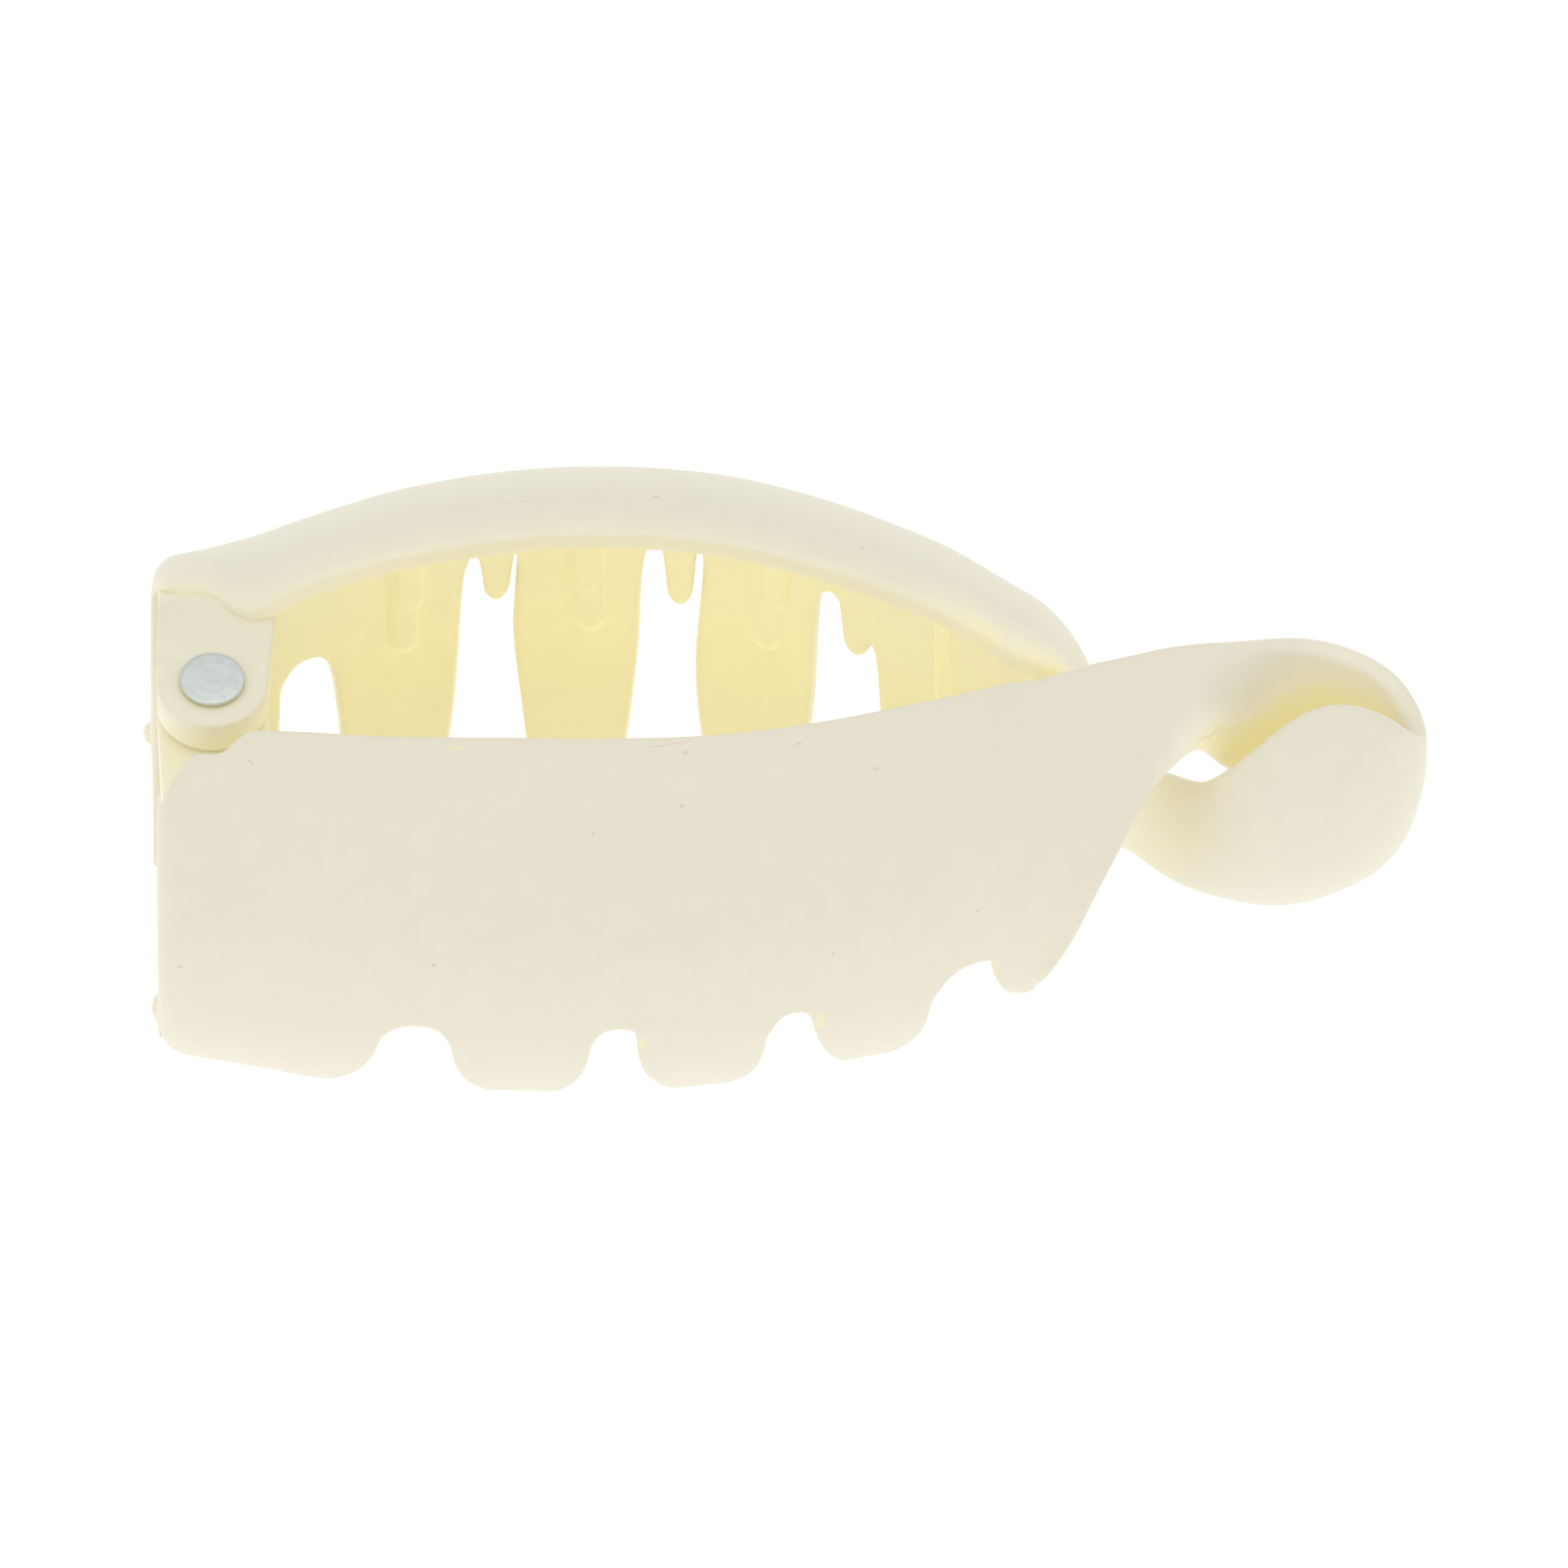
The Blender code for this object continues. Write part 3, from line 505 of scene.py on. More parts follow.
# painted shade and painted glow in the loop's fold, by station of its ribbon: share of its height where the
# front of the outgoing strand starts to yellow and where it is full, and the same of its other face
loopFoldShadeGlow = [(0, 1.3, 2.0, 1.0), (3, 1.0, 1.8, 0.9), (4, 0.6, 1.5, 0.8), (5, 0.56, 1.1, 0.4),
            (6, 0.3, 0.8, 0.1), (7, -0.02, 0.52, 0.0), (8, -0.2, 0.36, 0.0), (9, -0.2, 0.33, 0.0),
            (10, -0.25, 0.36, 0.0), (11, -0.2, 0.45, 0.0), (12, 0.2, 0.9, 0.0), (13, 0.0, 0.5, 0.0),
            (18, 0.0, 0.1, 0.0), (19, 0.0, 0.1, 0.06), (20, 0.0, 0.1, 0.38), (21, 0.0, 0.1, 0.62),
            (23, 0.0, 0.1, 0.8)]


def foldShadeGlowDepth(station, share, inner):
    if inner:
        return smoothCurve(loopFoldShadeGlow, station, 3)
    start, full = smoothCurve(loopFoldShadeGlow, station, 1), smoothCurve(loopFoldShadeGlow, station, 2)
    t = min(max((share - start) / (full - start), 0.0), 1.0)
    return t * t * (3 - 2 * t)


def makeJaw(name, comb):
    side, columns = comb["side"], combColumns(comb)
    lines = endWallLines(side, columns[0])
    combStart = len(lines)
    lines += [jawLine(side, column) for column in columns]
    combEnd = len(lines) - 1
    if side > 0:
        lines += domeLines(columns[-1])
    else:
        lines += [line + [line[-1]] * toothRows for line in loopLines()]
    rows = topRows + toothRows
    mesh = bmesh.new()
    glow = mesh.verts.layers.float.new("painted_light")
    fold_shade_glow = mesh.verts.layers.float.new("fold_shade_glow")
    # place along X, way down from the crest (the loop counts from 100 and then 200), 1 outside
    layout = mesh.verts.layers.float_vector.new("layout")
    bmesh.ops.create_grid(mesh, x_segments=len(lines) - 1, y_segments=rows, size=0.5)
    spot = {vert: (round((vert.co.x + 0.5) * (len(lines) - 1)), round((vert.co.y + 0.5) * rows))
            for vert in mesh.verts}

    def kept(i, j):
        if j < topRows or i < combStart:
            return True
        if i >= combEnd:
            return side > 0
        column = columns[i - combStart]
        return not column["open"] and j < topRows + column["tooth"].get("rows", toothRows)

    open_ = [face for face in mesh.faces
             if not kept(min(spot[v][0] for v in face.verts), min(spot[v][1] for v in face.verts))]
    bmesh.ops.delete(mesh, geom=open_, context="FACES")
    for vert in mesh.verts:
        i, j = spot[vert]
        vert.co, down = lines[i][j]
        if side < 0 and i > combEnd:
            station = (i - combEnd - 1) / loopSteps
            vert[layout] = (vert.co.x, down + strandMarks[station > loopTurn], station)
        else:
            vert[layout] = (vert.co.x, down * jawForm["arcStep"], -1)
        vert[glow] = topShares[min(j, topRows)]
    bmesh.ops.remove_doubles(mesh, verts=mesh.verts, dist=0.02)
    bmesh.ops.dissolve_degenerate(mesh, edges=mesh.edges, dist=0.01)
    bmesh.ops.recalc_face_normals(mesh, faces=mesh.faces)
    outermost = max(mesh.faces, key=lambda face: side * face.calc_center_median().y)
    if outermost.normal.y * side < 0:
        bmesh.ops.reverse_faces(mesh, faces=mesh.faces)
    mesh.normal_update()
    half = jawForm["wall"] / 2
    moves = [(vert, vert.normal * half * min(vert.calc_shell_factor(), jawForm["sharpest"]))
             for vert in mesh.verts]
    for vert, move in moves:
        vert.co += move
    mesh.normal_update()
    outside = set(mesh.verts)
    endFlat = jawForm["backEnd" if side > 0 else "frontEnd"] + jawForm["wall"] / 2 + jawLight["endMargin"]
    bmesh.ops.solidify(mesh, geom=list(mesh.faces), thickness=jawForm["wall"])
    for vert in mesh.verts:
        inner = vert not in outside
        place, down, station = vert[layout]
        if station >= 0:
            # the loop gets painted fold shade and glow in place of painted light
            vert[glow], vert[fold_shade_glow] = 0.0, foldShadeGlowDepth(station, vert[glow], inner)
        elif place < endFlat:
            # painted glow on the end wall
            vert[glow] = jawLight["endWall"]
        elif not inner:
            # painted glow on the back jaw's rim, where some light comes through
            light = jawLight["rim" if vert[glow] == 0 else "belowRim"]
            lit = side > 0 and vert[glow] < jawLight["rimBand"]
            vert[glow] = smoothCurve(light, place) if lit else 0.0
        else:
            # painted yellow tint and painted glow inside, by angle and place, less at the teeth's inner
            # edges, and paler painted light near the hinge end
            onEdge = any(len({v in outside for v in face.verts}) == 2 for face in vert.link_faces)
            share = jawLight["edges"] if onEdge and place < jawLight["edgesEnd"] else 1.0
            vert[glow] = (smoothCurve(jawLight["byAngle"], down / jawForm["arcStep"])
                          * smoothCurve(jawLight["byPlace"], place) * share)
            vert[fold_shade_glow] = smoothCurve(jawLight["hingeEnd"], place)
        vert[layout] = (place, down, 0 if inner else 1)
    jaw = moulded(name, mesh)
    smooth = jaw.modifiers.new("smooth", "SUBSURF")
    smooth.levels = smooth.render_levels = jawForm["smoothing"]
    return jaw


ribForm = {
    "start": 62.0,
    # half width at the top and before the round end, angle of the end, height above the wall
    "steps": [(1.2, 1.15, 110.3, 0.65), (1.45, 1.2, 122.8, 0.32)],
    "skirt": 0.35,
    "slope": 0.36,
    "depth": 0.3,
    # painted light and fold shade-and-glow on the top, the slopes and the round end; a painted highlight
    # makes the slopes and end paler than the wall
    "paleEdge": 0.3,
    "topLight": (0.9, 0.0),
    "slopeLight": (0.8, 0.42),
    "endLight": (1.0, 0.42),
    "runOut": 7.0,    # degrees over which a rib rises out of the wall at its top
}


def makeRibs(name, comb):
    # stepped stiffening ribs inside the plates, each a rounded tongue that dips into the wall
    mesh = bmesh.new()
    glow = mesh.verts.layers.float.new("painted_light")
    fold_shade_glow = mesh.verts.layers.float.new("fold_shade_glow")
    for upper, lower, size in comb["ribs"]:
        for x, (wide, narrow, end, height) in zip((upper, lower), ribForm["steps"]):
            wide, narrow, height = wide * (1 + size) / 2, narrow * (1 + size) / 2, height * size
            third, slope = ribForm["slope"] / 3 / narrow, ribForm["slope"] / narrow
            across = [-1, -1 + third, -1 + slope, -0.4, 0, 0.4, 1 - slope, 1 - third, 1]
            round_ = narrow / jawForm["arcStep"]
            down = [(ribForm["start"] + (end - round_ - ribForm["start"]) * k / 6, 0) for k in range(6)]
            down += [(end - round_, turn) for turn in (0, 25, 45, 62, 76, 90)]
            made = bmesh.ops.create_grid(mesh, x_segments=len(across) - 1, y_segments=len(down) - 1,
                                         size=0.5)
            for vert in made["verts"]:
                share = across[round((vert.co.x + 0.5) * (len(across) - 1))]
                angle, turn = down[round((vert.co.y + 0.5) * (len(down) - 1))]
                turn = math.radians(turn)
                half = wide + (narrow - wide) * (angle - ribForm["start"]) / (end - ribForm["start"])
                side = share * half * math.cos(turn)
                fromEdge = half - math.hypot(side, half * math.sin(turn))
                lift = min(fromEdge / ribForm["slope"], 1.0)
                lift *= min((angle - ribForm["start"]) / ribForm["runOut"], 1.0)
                lift = (height + ribForm["skirt"]) * math.sin(lift * math.pi / 2) - ribForm["skirt"]
                vert.co = shellPoint(comb["side"], x + side, angle + round_ * math.sin(turn),
                                     jawForm["wall"] + lift)
                # painted highlight: the ribs' slopes and round ends get paler painted light
                light = "topLight"
                if fromEdge < ribForm["paleEdge"]:
                    light = "endLight" if turn > 0.4 else "slopeLight"
                vert[glow], vert[fold_shade_glow] = ribForm[light]
    cleaned(mesh, 0.01)
    bmesh.ops.solidify(mesh, geom=list(mesh.faces), thickness=ribForm["depth"])
    bmesh.ops.recalc_face_normals(mesh, faces=mesh.faces)
    ribs = moulded(name, mesh)
    smooth = ribs.modifiers.new("smooth", "SUBSURF")
    smooth.levels = smooth.render_levels = 1
    return ribs


# what is left of the runners on the hinge ends: side, height, breadth, stand-out
gateNubs = {
    "back": [(14.9, 9.4, 1.1, 0.85), (15.2, 9.6, 3.2, 0.32)],
    "front": [(-14.9, 9.3, 1.25, 0.6), (-15.1, 9.2, 2.4, 0.2)],
    "sunk": 0.12,
    "roughness": 0.1,
    # painted glow on the nubs, which sit in shade
    "painted_light": 0.25,
}


def makeNub(name, jaw):
    mesh = bmesh.new()
    glow = mesh.verts.layers.float.new("painted_light")
    sunk = gateNubs["sunk"]
    for y, z, wide, out in gateNubs[jaw]:
        ball = bmesh.ops.create_icosphere(mesh, subdivisions=4, radius=1.0)["verts"]
        for vert in ball:
            rough = 1 + gateNubs["roughness"] * math.sin(7 * vert.co.y + 2) * math.cos(9 * vert.co.z)
            vert.co = (jawForm[jaw + "End"] + sunk + vert.co.x * (out + sunk) * rough,
                       y + vert.co.y * wide, z + vert.co.z * wide)
            vert[glow] = gateNubs["painted_light"]
    return moulded(name, mesh)


backJaw = makeJaw("back_jaw_shell", backComb)
frontJaw = makeJaw("front_jaw_shell", frontComb)
print("jaws moulded:", len(backJaw.data.polygons), "and", len(frontJaw.data.polygons), "faces")
backRibs, frontRibs = makeRibs("back_jaw_ribs", backComb), makeRibs("front_jaw_ribs", frontComb)
backNub, frontNub = makeNub("back_jaw_nub", "back"), makeNub("front_jaw_nub", "front")
print("ribs and gate nubs added")

# the two ears on each jaw that the rivet holds together

earForm = {
    "radius": 4.75,
    "rootDepth": 1.6,
    "topReach": 4.5,
    "rootFlare": 0.95,
    "rootTuck": -0.8,     # keeps the front ears inside the end wall
    "edge": 0.35,
    # painted glow for light that comes through from below, so only the back jaw's upper ear keeps a plain top
    "painted_light": 0.5,
    "topPaintedLight": 0.12,
    "plainTop": 34.5,
    # jaw, bottom, top
    "ears": [("back", 31.8, 35.4), ("front", 28.1, 31.45), ("front", 5.75, 9.2), ("back", 1.8, 5.4)],
}


def makeEars(name, side):
    mesh = bmesh.new()
    glow = mesh.verts.layers.float.new("painted_light")
    for jaw, bottom, top in earForm["ears"]:
        if (jaw == "back") != (side > 0):
            continue
        circle = bmesh.ops.create_circle(mesh, cap_ends=True, segments=48, radius=earForm["radius"])
        faces = list({face for vert in circle["verts"] for face in vert.link_faces})
        body = bmesh.ops.extrude_face_region(mesh, geom=faces)
        lifted = [item for item in body["geom"] if isinstance(item, bmesh.types.BMVert)]
        bmesh.ops.translate(mesh, verts=lifted, vec=(0, 0, top - bottom))
        ear = circle["verts"] + lifted
        bmesh.ops.translate(mesh, verts=ear, vec=(0, 0, bottom))
        for vert in ear:
            if vert.co.y * side > 0.01:
                flare = earForm["rootFlare"] if vert.co.x > 0 else earForm["rootTuck"] if side < 0 else 0
                if abs(vert.co.x) < 0.01:
                    vert.co.x = 0
                else:
                    vert.co.x = math.copysign(earForm["radius"] + flare, vert.co.x)
                offset, radius, crest = section(side, jawForm["pinX"] + vert.co.x)
                depth = vert.co.z - crest + radius
                across = (radius - earForm["rootDepth"]) ** 2 - depth**2
                vert.co.y = side * (offset + math.sqrt(max(across, earForm["topReach"] ** 2)))
    cleaned(mesh, 0.01)
    bmesh.ops.translate(mesh, verts=mesh.verts, vec=(jawForm["pinX"], 0, 0))
    edges = [edge for edge in mesh.edges if edge.is_manifold and edge.calc_face_angle() > 0.7]
    bmesh.ops.bevel(mesh, geom=edges, affect="EDGES", offset=earForm["edge"], segments=3, profile=0.5,
                    material=-1)
    for vert in mesh.verts:
        # painted glow everywhere but on the top of the back jaw's upper ear
        fullyLit = side < 0 or vert.co.z < earForm["plainTop"]
        vert[glow] = earForm["painted_light" if fullyLit else "topPaintedLight"]
    return moulded(name, mesh)


backEars = makeEars("back_jaw_ears", 1)
frontEars = makeEars("front_jaw_ears", -1)

# the rivet that holds the ears together

rivetForm = {"shank": 1.15, "head": 2.8, "headHeight": 0.45, "gap": 0.25, "edge": 0.15, "crown": 0.06}


def makeRivet():
    low = earForm["ears"][-1][1] - rivetForm["gap"]
    high = earForm["ears"][0][2] + rivetForm["gap"]
    head, tall, edge, crown = (rivetForm[part] for part in ("head", "headHeight", "edge", "crown"))
    half = [(0, tall), (head * 0.5, tall - 0.01), (head * 0.85, tall - 0.03),
            (head - edge, tall - crown), (head - edge * 0.3, tall - edge * 0.3 - crown),
            (head, tall - edge - crown), (head, 0.05), (head - 0.05, 0), (rivetForm["shank"], 0)]
    profile = [(r, high + z) for r, z in half] + [(r, low - z) for r, z in reversed(half)]
    mesh = bmesh.new()
    points = [mesh.verts.new((r, 0, z)) for r, z in profile]
    edges = [mesh.edges.new(pair) for pair in zip(points, points[1:])]
    bmesh.ops.spin(mesh, geom=points + edges, cent=(0, 0, 0), axis=(0, 0, 1), angle=math.tau, steps=64,
                   use_merge=True)
    cleaned(mesh, 0.001)
    bmesh.ops.translate(mesh, verts=mesh.verts, vec=(jawForm["pinX"], 0, 0))
    rivet = moulded("hinge_rivet", mesh)
    rivet.data.set_sharp_from_angle(angle=math.radians(35))
    return rivet


rivet = makeRivet()
print("ears and rivet made")

# cream plastic, with a painted yellow tint and painted glow where light comes through from the inside and
# where shade falls inside
plasticLook = {
    "outside": (0.84, 0.80, 0.648, 1),
    "inside": (0.92, 0.865, 0.565, 1),
    # painted shade: a deeper yellow in the loop's fold
    "fold_shade_glow": (0.86, 0.79, 0.48, 1),      # deeper in the loop's fold, which passes little light
    # painted glow colours and strength, given out as emission
    "glow": (1.0, 0.93, 0.53, 1),
    "paleGlow": (1.12, 1.07, 0.86, 1),      # where less of the wall's thickness colours the light
    "glowStrength": 0.125,
    "foldGlow": 0.9,
    "rosy": (1.005, 0.998, 0.997, 1),      # cloudiness between two faint tints
    "greenish": (0.995, 1.0, 0.997, 1),
    "smooth": 0.4,
    "dull": 0.48,
    "grain": 0.09,
    "grainDepth": 0.0002,
    "cloudScale": 75,
    "streakScale": 420,
    "fineScale": 4200,
    # colour of painted shade and painted light patches, of one small yellow oval, and of the painted shadow
    # round the rivet
    "stain": (0.92, 0.85, 0.53, 1),
    "speck": (0.42, 0.36, 0.26, 1),
    "stainStrength": 0.8,
    "speckStrength": 0.28,
    "stainSoftness": 0.75,
    "speckSoftness": 0.6,
    # painted shadow and reflection ring round the rivet
    "rivetShadow": (3.25, 2.7),    # distances from the rivet's axis, in mm, between which it begins
    "markDepth": 0.9,     # less than 1, so that a mark stays on the outside
}
# marks by place along X, way down from the crest, length, breadth, turn in degrees
frontMarks = {
    "specks": [(-45.31, 5.0, 0.55, 0.16, 35), (-8.42, 3.6, 0.42, 0.3, 0), (-8.77, 8.5, 0.34, 0.24, -20),
               (7.59, 7.9, 0.55, 0.14, -8), (1.11, 4.3, 0.5, 0.13, -6), (-29.65, 21.9, 0.3, 0.22, 0),
               (-16.22, 10.5, 0.24, 0.16, 0), (15.94, 22.4, 0.25, 0.18, 0), (-51.23, 24.9, 0.26, 0.22, 0),
               (35.6, 108.1, 1.2, 0.11, -31), (36.45, 107.55, 0.4, 0.08, 40),
               (-10.6, 2.6, 3.4, 0.035, -1), (3.76, 23.4, 0.26, 0.2, 0)],
    # the two ovals beside the notches are painted shade; the one near the rim is a small yellow oval
    "stains": [(-27.91, 2.1, 0.85, 0.4, 0), (-12.3, 30.7, 0.5, 1.5, 8), (2.65, 30.8, 0.5, 1.5, 8)],
}
backMarks = {
    "specks": [(-34.38, 0.4, 0.3, 0.2, 0), (-11.0, 7.6, 0.36, 0.26, 0), (-20.8, 7.25, 9.0, 0.05, 0),
               (6.4, 6.4, 0.24, 0.18, 0), (18.8, 3.4, 0.42, 0.1, -35), (19.3, 3.9, 0.3, 0.12, 25)],
    # painted yellow light patches by the dome's rim, where the inside's painted yellow reaches
    "stains": [(16.8, 2.0, 2.4, 2.0, -25), (22.4, 2.3, 3.9, 1.5, 0)],
}


def effect(name, inputs, outputs):
    # empty node group with its sockets
    group = bpy.data.node_groups.new(name, "ShaderNodeTree")
    kinds = {"value": "NodeSocketFloat", "vector": "NodeSocketVector", "colour": "NodeSocketColor"}
    for direction, sockets in (("INPUT", inputs), ("OUTPUT", outputs)):
        for label, kind in sockets:
            group.interface.new_socket(name=label, in_out=direction, socket_type=kinds[kind])
    return group, group.nodes.new("NodeGroupInput"), group.nodes.new("NodeGroupOutput")


def maths(tree, operation, first, second=None, clamp=False):
    node = tree.nodes.new("ShaderNodeMath")
    node.operation, node.use_clamp = operation, clamp
    for socket, value in zip(node.inputs, (first, second)):
        if isinstance(value, (int, float)):
            socket.default_value = value
        elif value is not None:
            tree.links.new(value, socket)
    return node.outputs["Value"]


def blend(tree, factor, first, second, kind="MIX"):
    # mixes two colours, each a socket or a fixed colour
    node = tree.nodes.new("ShaderNodeMix")
    node.data_type, node.blend_type, node.clamp_factor = "RGBA", kind, False
    for socket, value in ((node.inputs["Factor"], factor), (node.inputs["A"], first),
                          (node.inputs["B"], second)):
        if isinstance(value, (int, float, tuple)):
            socket.default_value = value
        else:
            tree.links.new(value, socket)
    return node.outputs["Result"]


def noise(tree, vector, scale, detail=2.0):
    node = tree.nodes.new("ShaderNodeTexNoise")
    node.inputs["Scale"].default_value, node.inputs["Detail"].default_value = scale, detail
    tree.links.new(vector, node.inputs["Vector"])
    return node.outputs["Fac"]


def ramp(tree, value, low, high, start=0.0, end=1.0):
    node = tree.nodes.new("ShaderNodeMapRange")
    node.interpolation_type = "SMOOTHSTEP"
    for label, number in (("From Min", low), ("From Max", high), ("To Min", start), ("To Max", end)):
        node.inputs[label].default_value = number
    tree.links.new(value, node.inputs["Value"])
    return node.outputs["Result"]


def attribute(tree, name):
    node = tree.nodes.new("ShaderNodeAttribute")
    node.attribute_name = name
    return node.outputs


def lengthOf(tree, vector):
    node = tree.nodes.new("ShaderNodeVectorMath")
    node.operation = "LENGTH"
    tree.links.new(vector, node.inputs[0])
    return node.outputs["Value"]


def addGrain(tree, shader, height, look):
    bump = tree.nodes.new("ShaderNodeBump")
    bump.inputs["Strength"].default_value = look["grain"]
    bump.inputs["Distance"].default_value = look["grainDepth"]
    tree.links.new(height, bump.inputs["Height"])
    tree.links.new(bump.outputs["Normal"], shader.inputs["Normal"])


def makeMarkGroup():
    # how far a point lies from an oval mark on the moulding, 1 on the mark's outline
    group, given, result = effect(
        "oval mark", (("Layout", "vector"), ("Place", "vector"), ("Turn", "vector"), ("Size", "vector")),
        (("Reach", "value"),))
    mapped = group.nodes.new("ShaderNodeMapping")
    mapped.vector_type = "TEXTURE"
    for label, socket in (("Layout", "Vector"), ("Place", "Location"), ("Turn", "Rotation"),
                          ("Size", "Scale")):
        group.links.new(given.outputs[label], mapped.inputs[socket])
    group.links.new(lengthOf(group, mapped.outputs["Vector"]), result.inputs["Reach"])
    return group


def makePlasticGroup():
    # colour with painted yellow shade, roughness, bump height and painted glow of the moulded plastic
    group, given, result = effect(
        "cream plastic",
        (("Vector", "vector"), ("PaintedLight", "value"), ("FoldShadeGlow", "value"), ("Specks", "value"),
         ("Stains", "value")),
        (("Base Color", "colour"), ("Roughness", "value"), ("Height", "value"), ("Glow", "colour")))
    place = given.outputs["Vector"]
    cloud = noise(group, place, plasticLook["cloudScale"], 3)
    streak = noise(group, place, plasticLook["streakScale"], 3)
    fine = noise(group, place, plasticLook["fineScale"], 2)
    # painted yellow of the inside light, then painted shade deep in the fold
    base = blend(group, given.outputs["PaintedLight"], plasticLook["outside"], plasticLook["inside"])
    base = blend(group, ramp(group, given.outputs["FoldShadeGlow"], 0.42, 1.08), base, plasticLook["fold_shade_glow"])
    tint = blend(group, ramp(group, cloud, 0.35, 0.65), plasticLook["rosy"], plasticLook["greenish"])
    base = blend(group, 1.0, base, tint, "MULTIPLY")
    both = maths(group, "ADD", maths(group, "MULTIPLY", streak, 0.6), maths(group, "MULTIPLY", fine, 0.4))
    value = ramp(group, both, 0.35, 0.65, 0.985, 1.007)
    grey = group.nodes.new("ShaderNodeCombineColor")
    for label in ("Red", "Green", "Blue"):
        group.links.new(value, grey.inputs[label])
    base = blend(group, 1.0, base, grey.outputs["Color"], "MULTIPLY")
    # painted shade patches and the small yellow oval, then the specks, over the colour
    for mask, mark in (("Stains", "stain"), ("Specks", "speck")):
        strength = maths(group, "MULTIPLY", given.outputs[mask], plasticLook[mark + "Strength"])
        base = blend(group, strength, base, plasticLook[mark])
    group.links.new(base, result.inputs["Base Color"])
    dull = ramp(group, streak, 0.3, 0.7, plasticLook["smooth"], plasticLook["dull"])
    group.links.new(maths(group, "ADD", dull, maths(group, "MULTIPLY", given.outputs["Specks"], 0.2)),
                    result.inputs["Roughness"])
    height = maths(group, "ADD", maths(group, "MULTIPLY", fine, 0.25), streak)
    height = maths(group, "SUBTRACT", height, maths(group, "MULTIPLY", given.outputs["Specks"], 0.8))
    group.links.new(height, result.inputs["Height"])
    # painted glow from the painted light and the fold's painted shade-and-glow
    folded = maths(group, "POWER", given.outputs["FoldShadeGlow"], 0.6)
    lit = maths(group, "ADD", given.outputs["PaintedLight"],
                maths(group, "MULTIPLY", folded, plasticLook["foldGlow"]))
    depth = maths(group, "ADD", given.outputs["PaintedLight"], given.outputs["FoldShadeGlow"])
    shine = blend(group, ramp(group, depth, 0.55, 1.0), plasticLook["paleGlow"], plasticLook["glow"])
    group.links.new(blend(group, lit, (0.0, 0.0, 0.0, 1), shine), result.inputs["Glow"])
    return group


def makeHingeGroup():
    # distance in mm from the rivet's axis
    group, given, result = effect("round the rivet", (("Vector", "vector"),), (("Distance", "value"),))
    away = group.nodes.new("ShaderNodeMapping")
    away.vector_type = "POINT"
    away.inputs["Location"].default_value = (-(jawForm["pinX"] + standingMove.x), -standingMove.y, 0)
    away.inputs["Scale"].default_value = (1000, 1000, 0)
    group.links.new(given.outputs["Vector"], away.inputs["Vector"])
    group.links.new(lengthOf(group, away.outputs["Vector"]), result.inputs["Distance"])
    return group


markGroup, plasticGroup, hingeGroup = makeMarkGroup(), makePlasticGroup(), makeHingeGroup()


def useGroup(tree, group):
    node = tree.nodes.new("ShaderNodeGroup")
    node.node_tree = group
    return node


def allMarks(tree, layout, marks, softness):
    # mask of a list of oval marks
    nearest = None
    for x, down, wide, tall, turn in marks:
        mark = useGroup(tree, markGroup)
        tree.links.new(layout, mark.inputs["Layout"])
        mark.inputs["Place"].default_value = (x, down, 1)
        mark.inputs["Turn"].default_value = (0, 0, math.radians(turn))
        mark.inputs["Size"].default_value = (wide, tall, plasticLook["markDepth"])
        reach = mark.outputs["Reach"]
        nearest = reach if nearest is None else maths(tree, "MINIMUM", nearest, reach)
    return ramp(tree, nearest, 1.0, 1 - softness)


def creamPlastic(name, marks=None):
    material, tree, shader = newMaterial(name)
    links = tree.links
    place = tree.nodes.new("ShaderNodeTexCoord").outputs["Object"]
    plastic = useGroup(tree, plasticGroup)
    links.new(place, plastic.inputs["Vector"])
    links.new(attribute(tree, "painted_light")["Fac"], plastic.inputs["PaintedLight"])
    if marks:
        links.new(attribute(tree, "fold_shade_glow")["Fac"], plastic.inputs["FoldShadeGlow"])
        layout = attribute(tree, "layout")["Vector"]
        for kind, mask in (("speck", "Specks"), ("stain", "Stains")):
            spots = allMarks(tree, layout, marks[kind + "s"], plasticLook[kind + "Softness"])
            links.new(spots, plastic.inputs[mask])
    else:
        # painted shadow and yellow reflection round the rivet's head
        hinge = useGroup(tree, hingeGroup)
        links.new(place, hinge.inputs["Vector"])
        stain = ramp(tree, hinge.outputs["Distance"], *plasticLook["rivetShadow"])
        links.new(stain, plastic.inputs["Stains"])
    for label in ("Base Color", "Roughness"):
        links.new(plastic.outputs[label], shader.inputs[label])
    # painted glow given out as emission
    links.new(plastic.outputs["Glow"], shader.inputs["Emission Color"])
    shader.inputs["Emission Strength"].default_value = plasticLook["glowStrength"]
    addGrain(tree, shader, plastic.outputs["Height"], plasticLook)
    return material


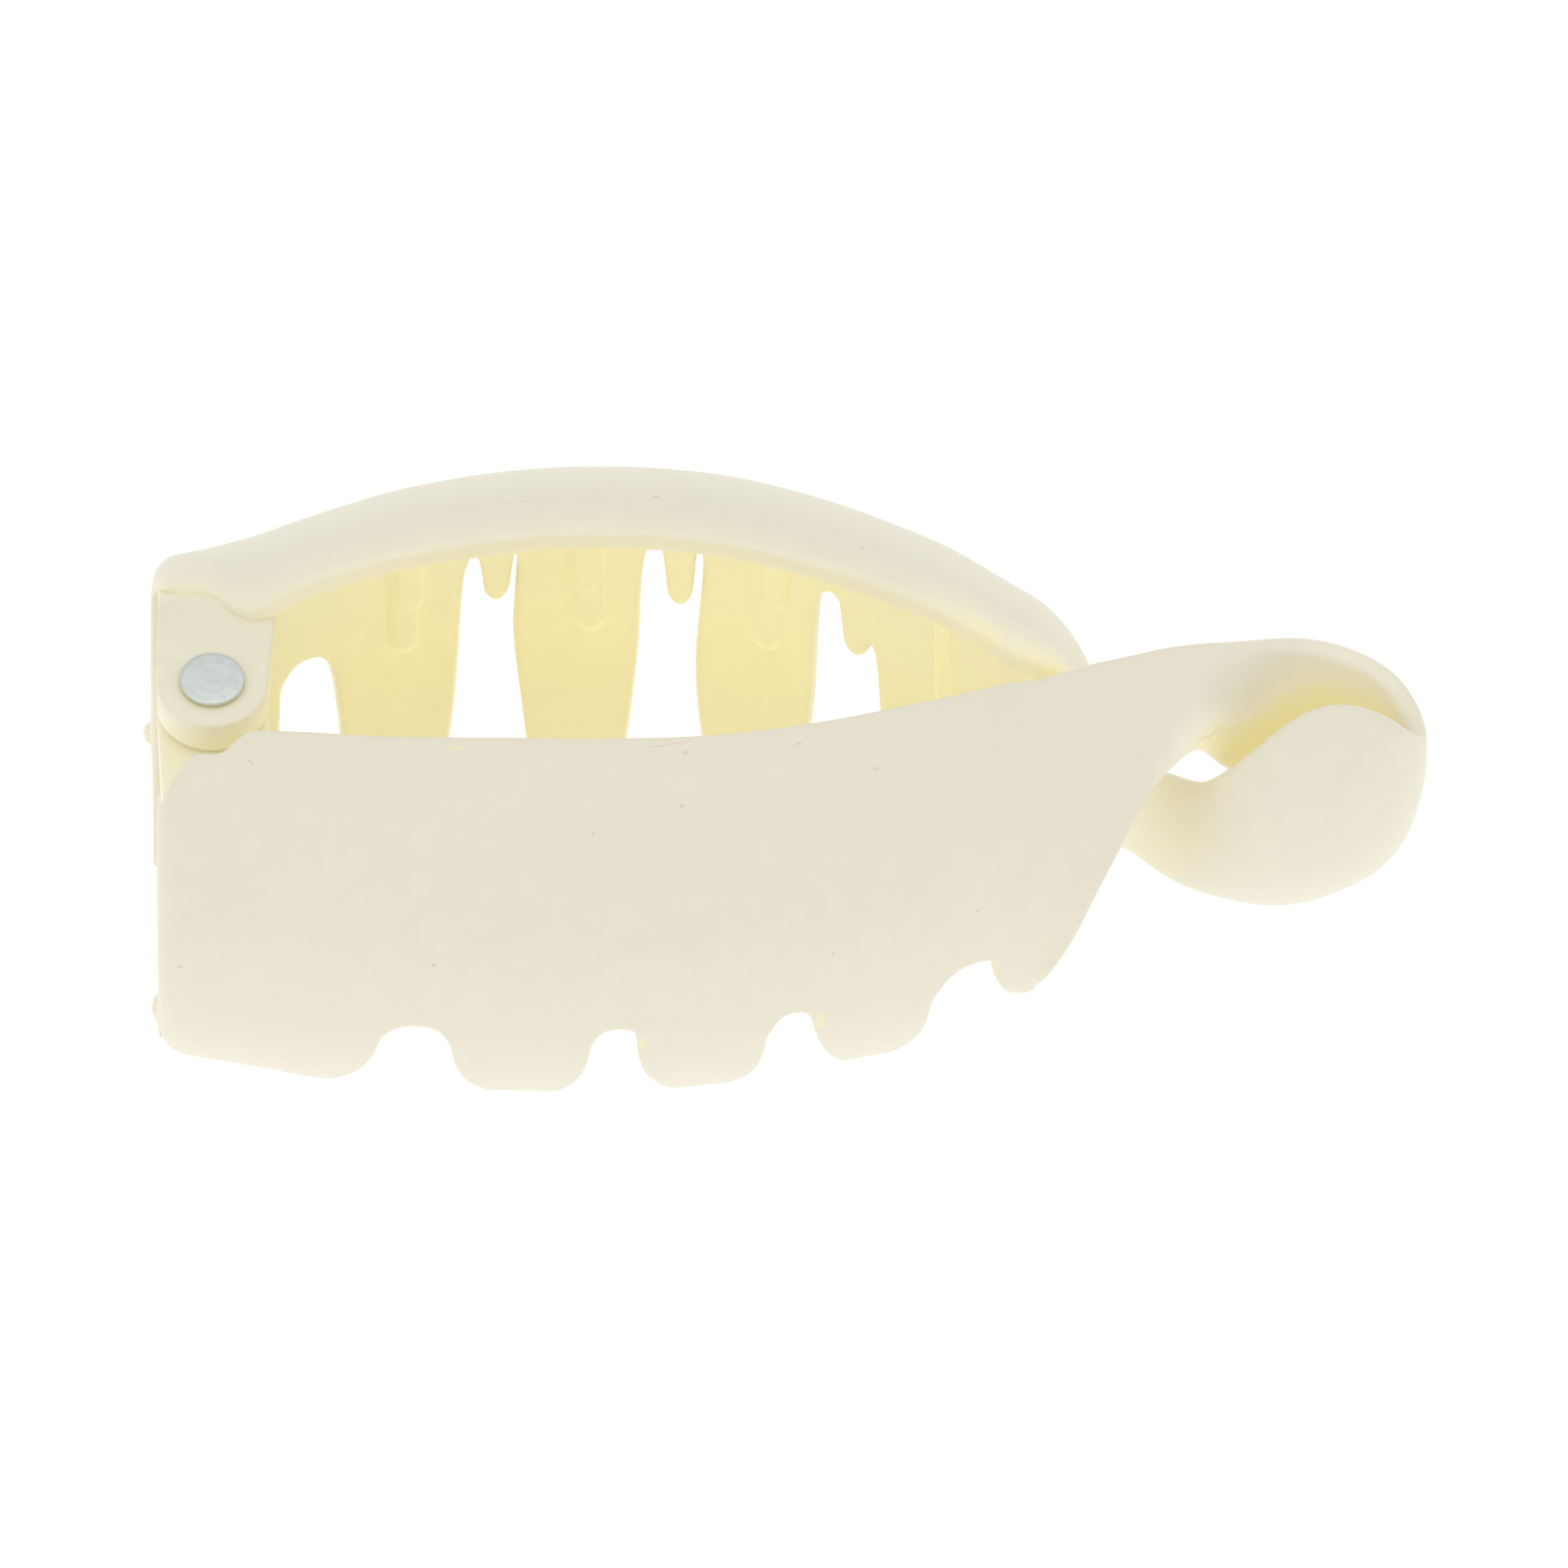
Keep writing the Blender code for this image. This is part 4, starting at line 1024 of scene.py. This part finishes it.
steelLook = {
    "colour": (0.70, 0.75, 0.72, 1),
    "dark": (0.61, 0.655, 0.63, 1),
    "smooth": 0.38,
    "dull": 0.55,
    "cloudScale": 900,
    "fineScale": 6000,
    "ringSpacing": 7.5,    # radians for each mm from the axis
    "ringWobble": 0.5,
    "ringStrength": 0.07,
    "cloudStrength": 0.9,
    "grain": 0.15,
    "grainDepth": 0.0001,
}


def rivetSteel():
    material, tree, shader = newMaterial("rivet_steel")
    links = tree.links
    place = tree.nodes.new("ShaderNodeTexCoord").outputs["Object"]
    hinge = useGroup(tree, hingeGroup)
    links.new(place, hinge.inputs["Vector"])
    cloud = noise(tree, place, steelLook["cloudScale"], 3)
    fine = noise(tree, place, steelLook["fineScale"], 2)
    wobble = maths(tree, "MULTIPLY", cloud, steelLook["ringWobble"])
    wobbly = maths(tree, "ADD", hinge.outputs["Distance"], wobble)
    turned = maths(tree, "MULTIPLY", wobbly, steelLook["ringSpacing"])
    rings = ramp(tree, maths(tree, "SINE", turned), -0.6, 1.0)
    mixed = maths(tree, "ADD", maths(tree, "MULTIPLY", rings, steelLook["ringStrength"]),
                  maths(tree, "MULTIPLY", cloud, steelLook["cloudStrength"]), True)
    links.new(blend(tree, mixed, steelLook["colour"], steelLook["dark"]), shader.inputs["Base Color"])
    links.new(ramp(tree, mixed, 0.2, 0.9, steelLook["smooth"], steelLook["dull"]), shader.inputs["Roughness"])
    shader.inputs["Metallic"].default_value = 1.0
    height = maths(tree, "ADD", maths(tree, "MULTIPLY", rings, 0.35), maths(tree, "MULTIPLY", fine, 0.6))
    addGrain(tree, shader, height, steelLook)
    return material


backPlastic = creamPlastic("back_jaw_plastic", backMarks)
frontPlastic = creamPlastic("front_jaw_plastic", frontMarks)
earPlastic, steel = creamPlastic("ear_plastic"), rivetSteel()
print("plastic and steel mixed")

for piece, body, material in (
        (backJaw, "back", backPlastic), (backRibs, "back", backPlastic), (backNub, "back", backPlastic),
        (backEars, "back", earPlastic), (frontJaw, "front", frontPlastic), (frontRibs, "front", frontPlastic),
        (frontNub, "front", frontPlastic), (frontEars, "front", earPlastic)):
    piece.data.materials.append(material)
    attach(piece, body)
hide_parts("back_jaw")
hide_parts("front_jaw")
rivet.data.materials.append(steel)
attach(rivet, "back")
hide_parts("hinge_pin")
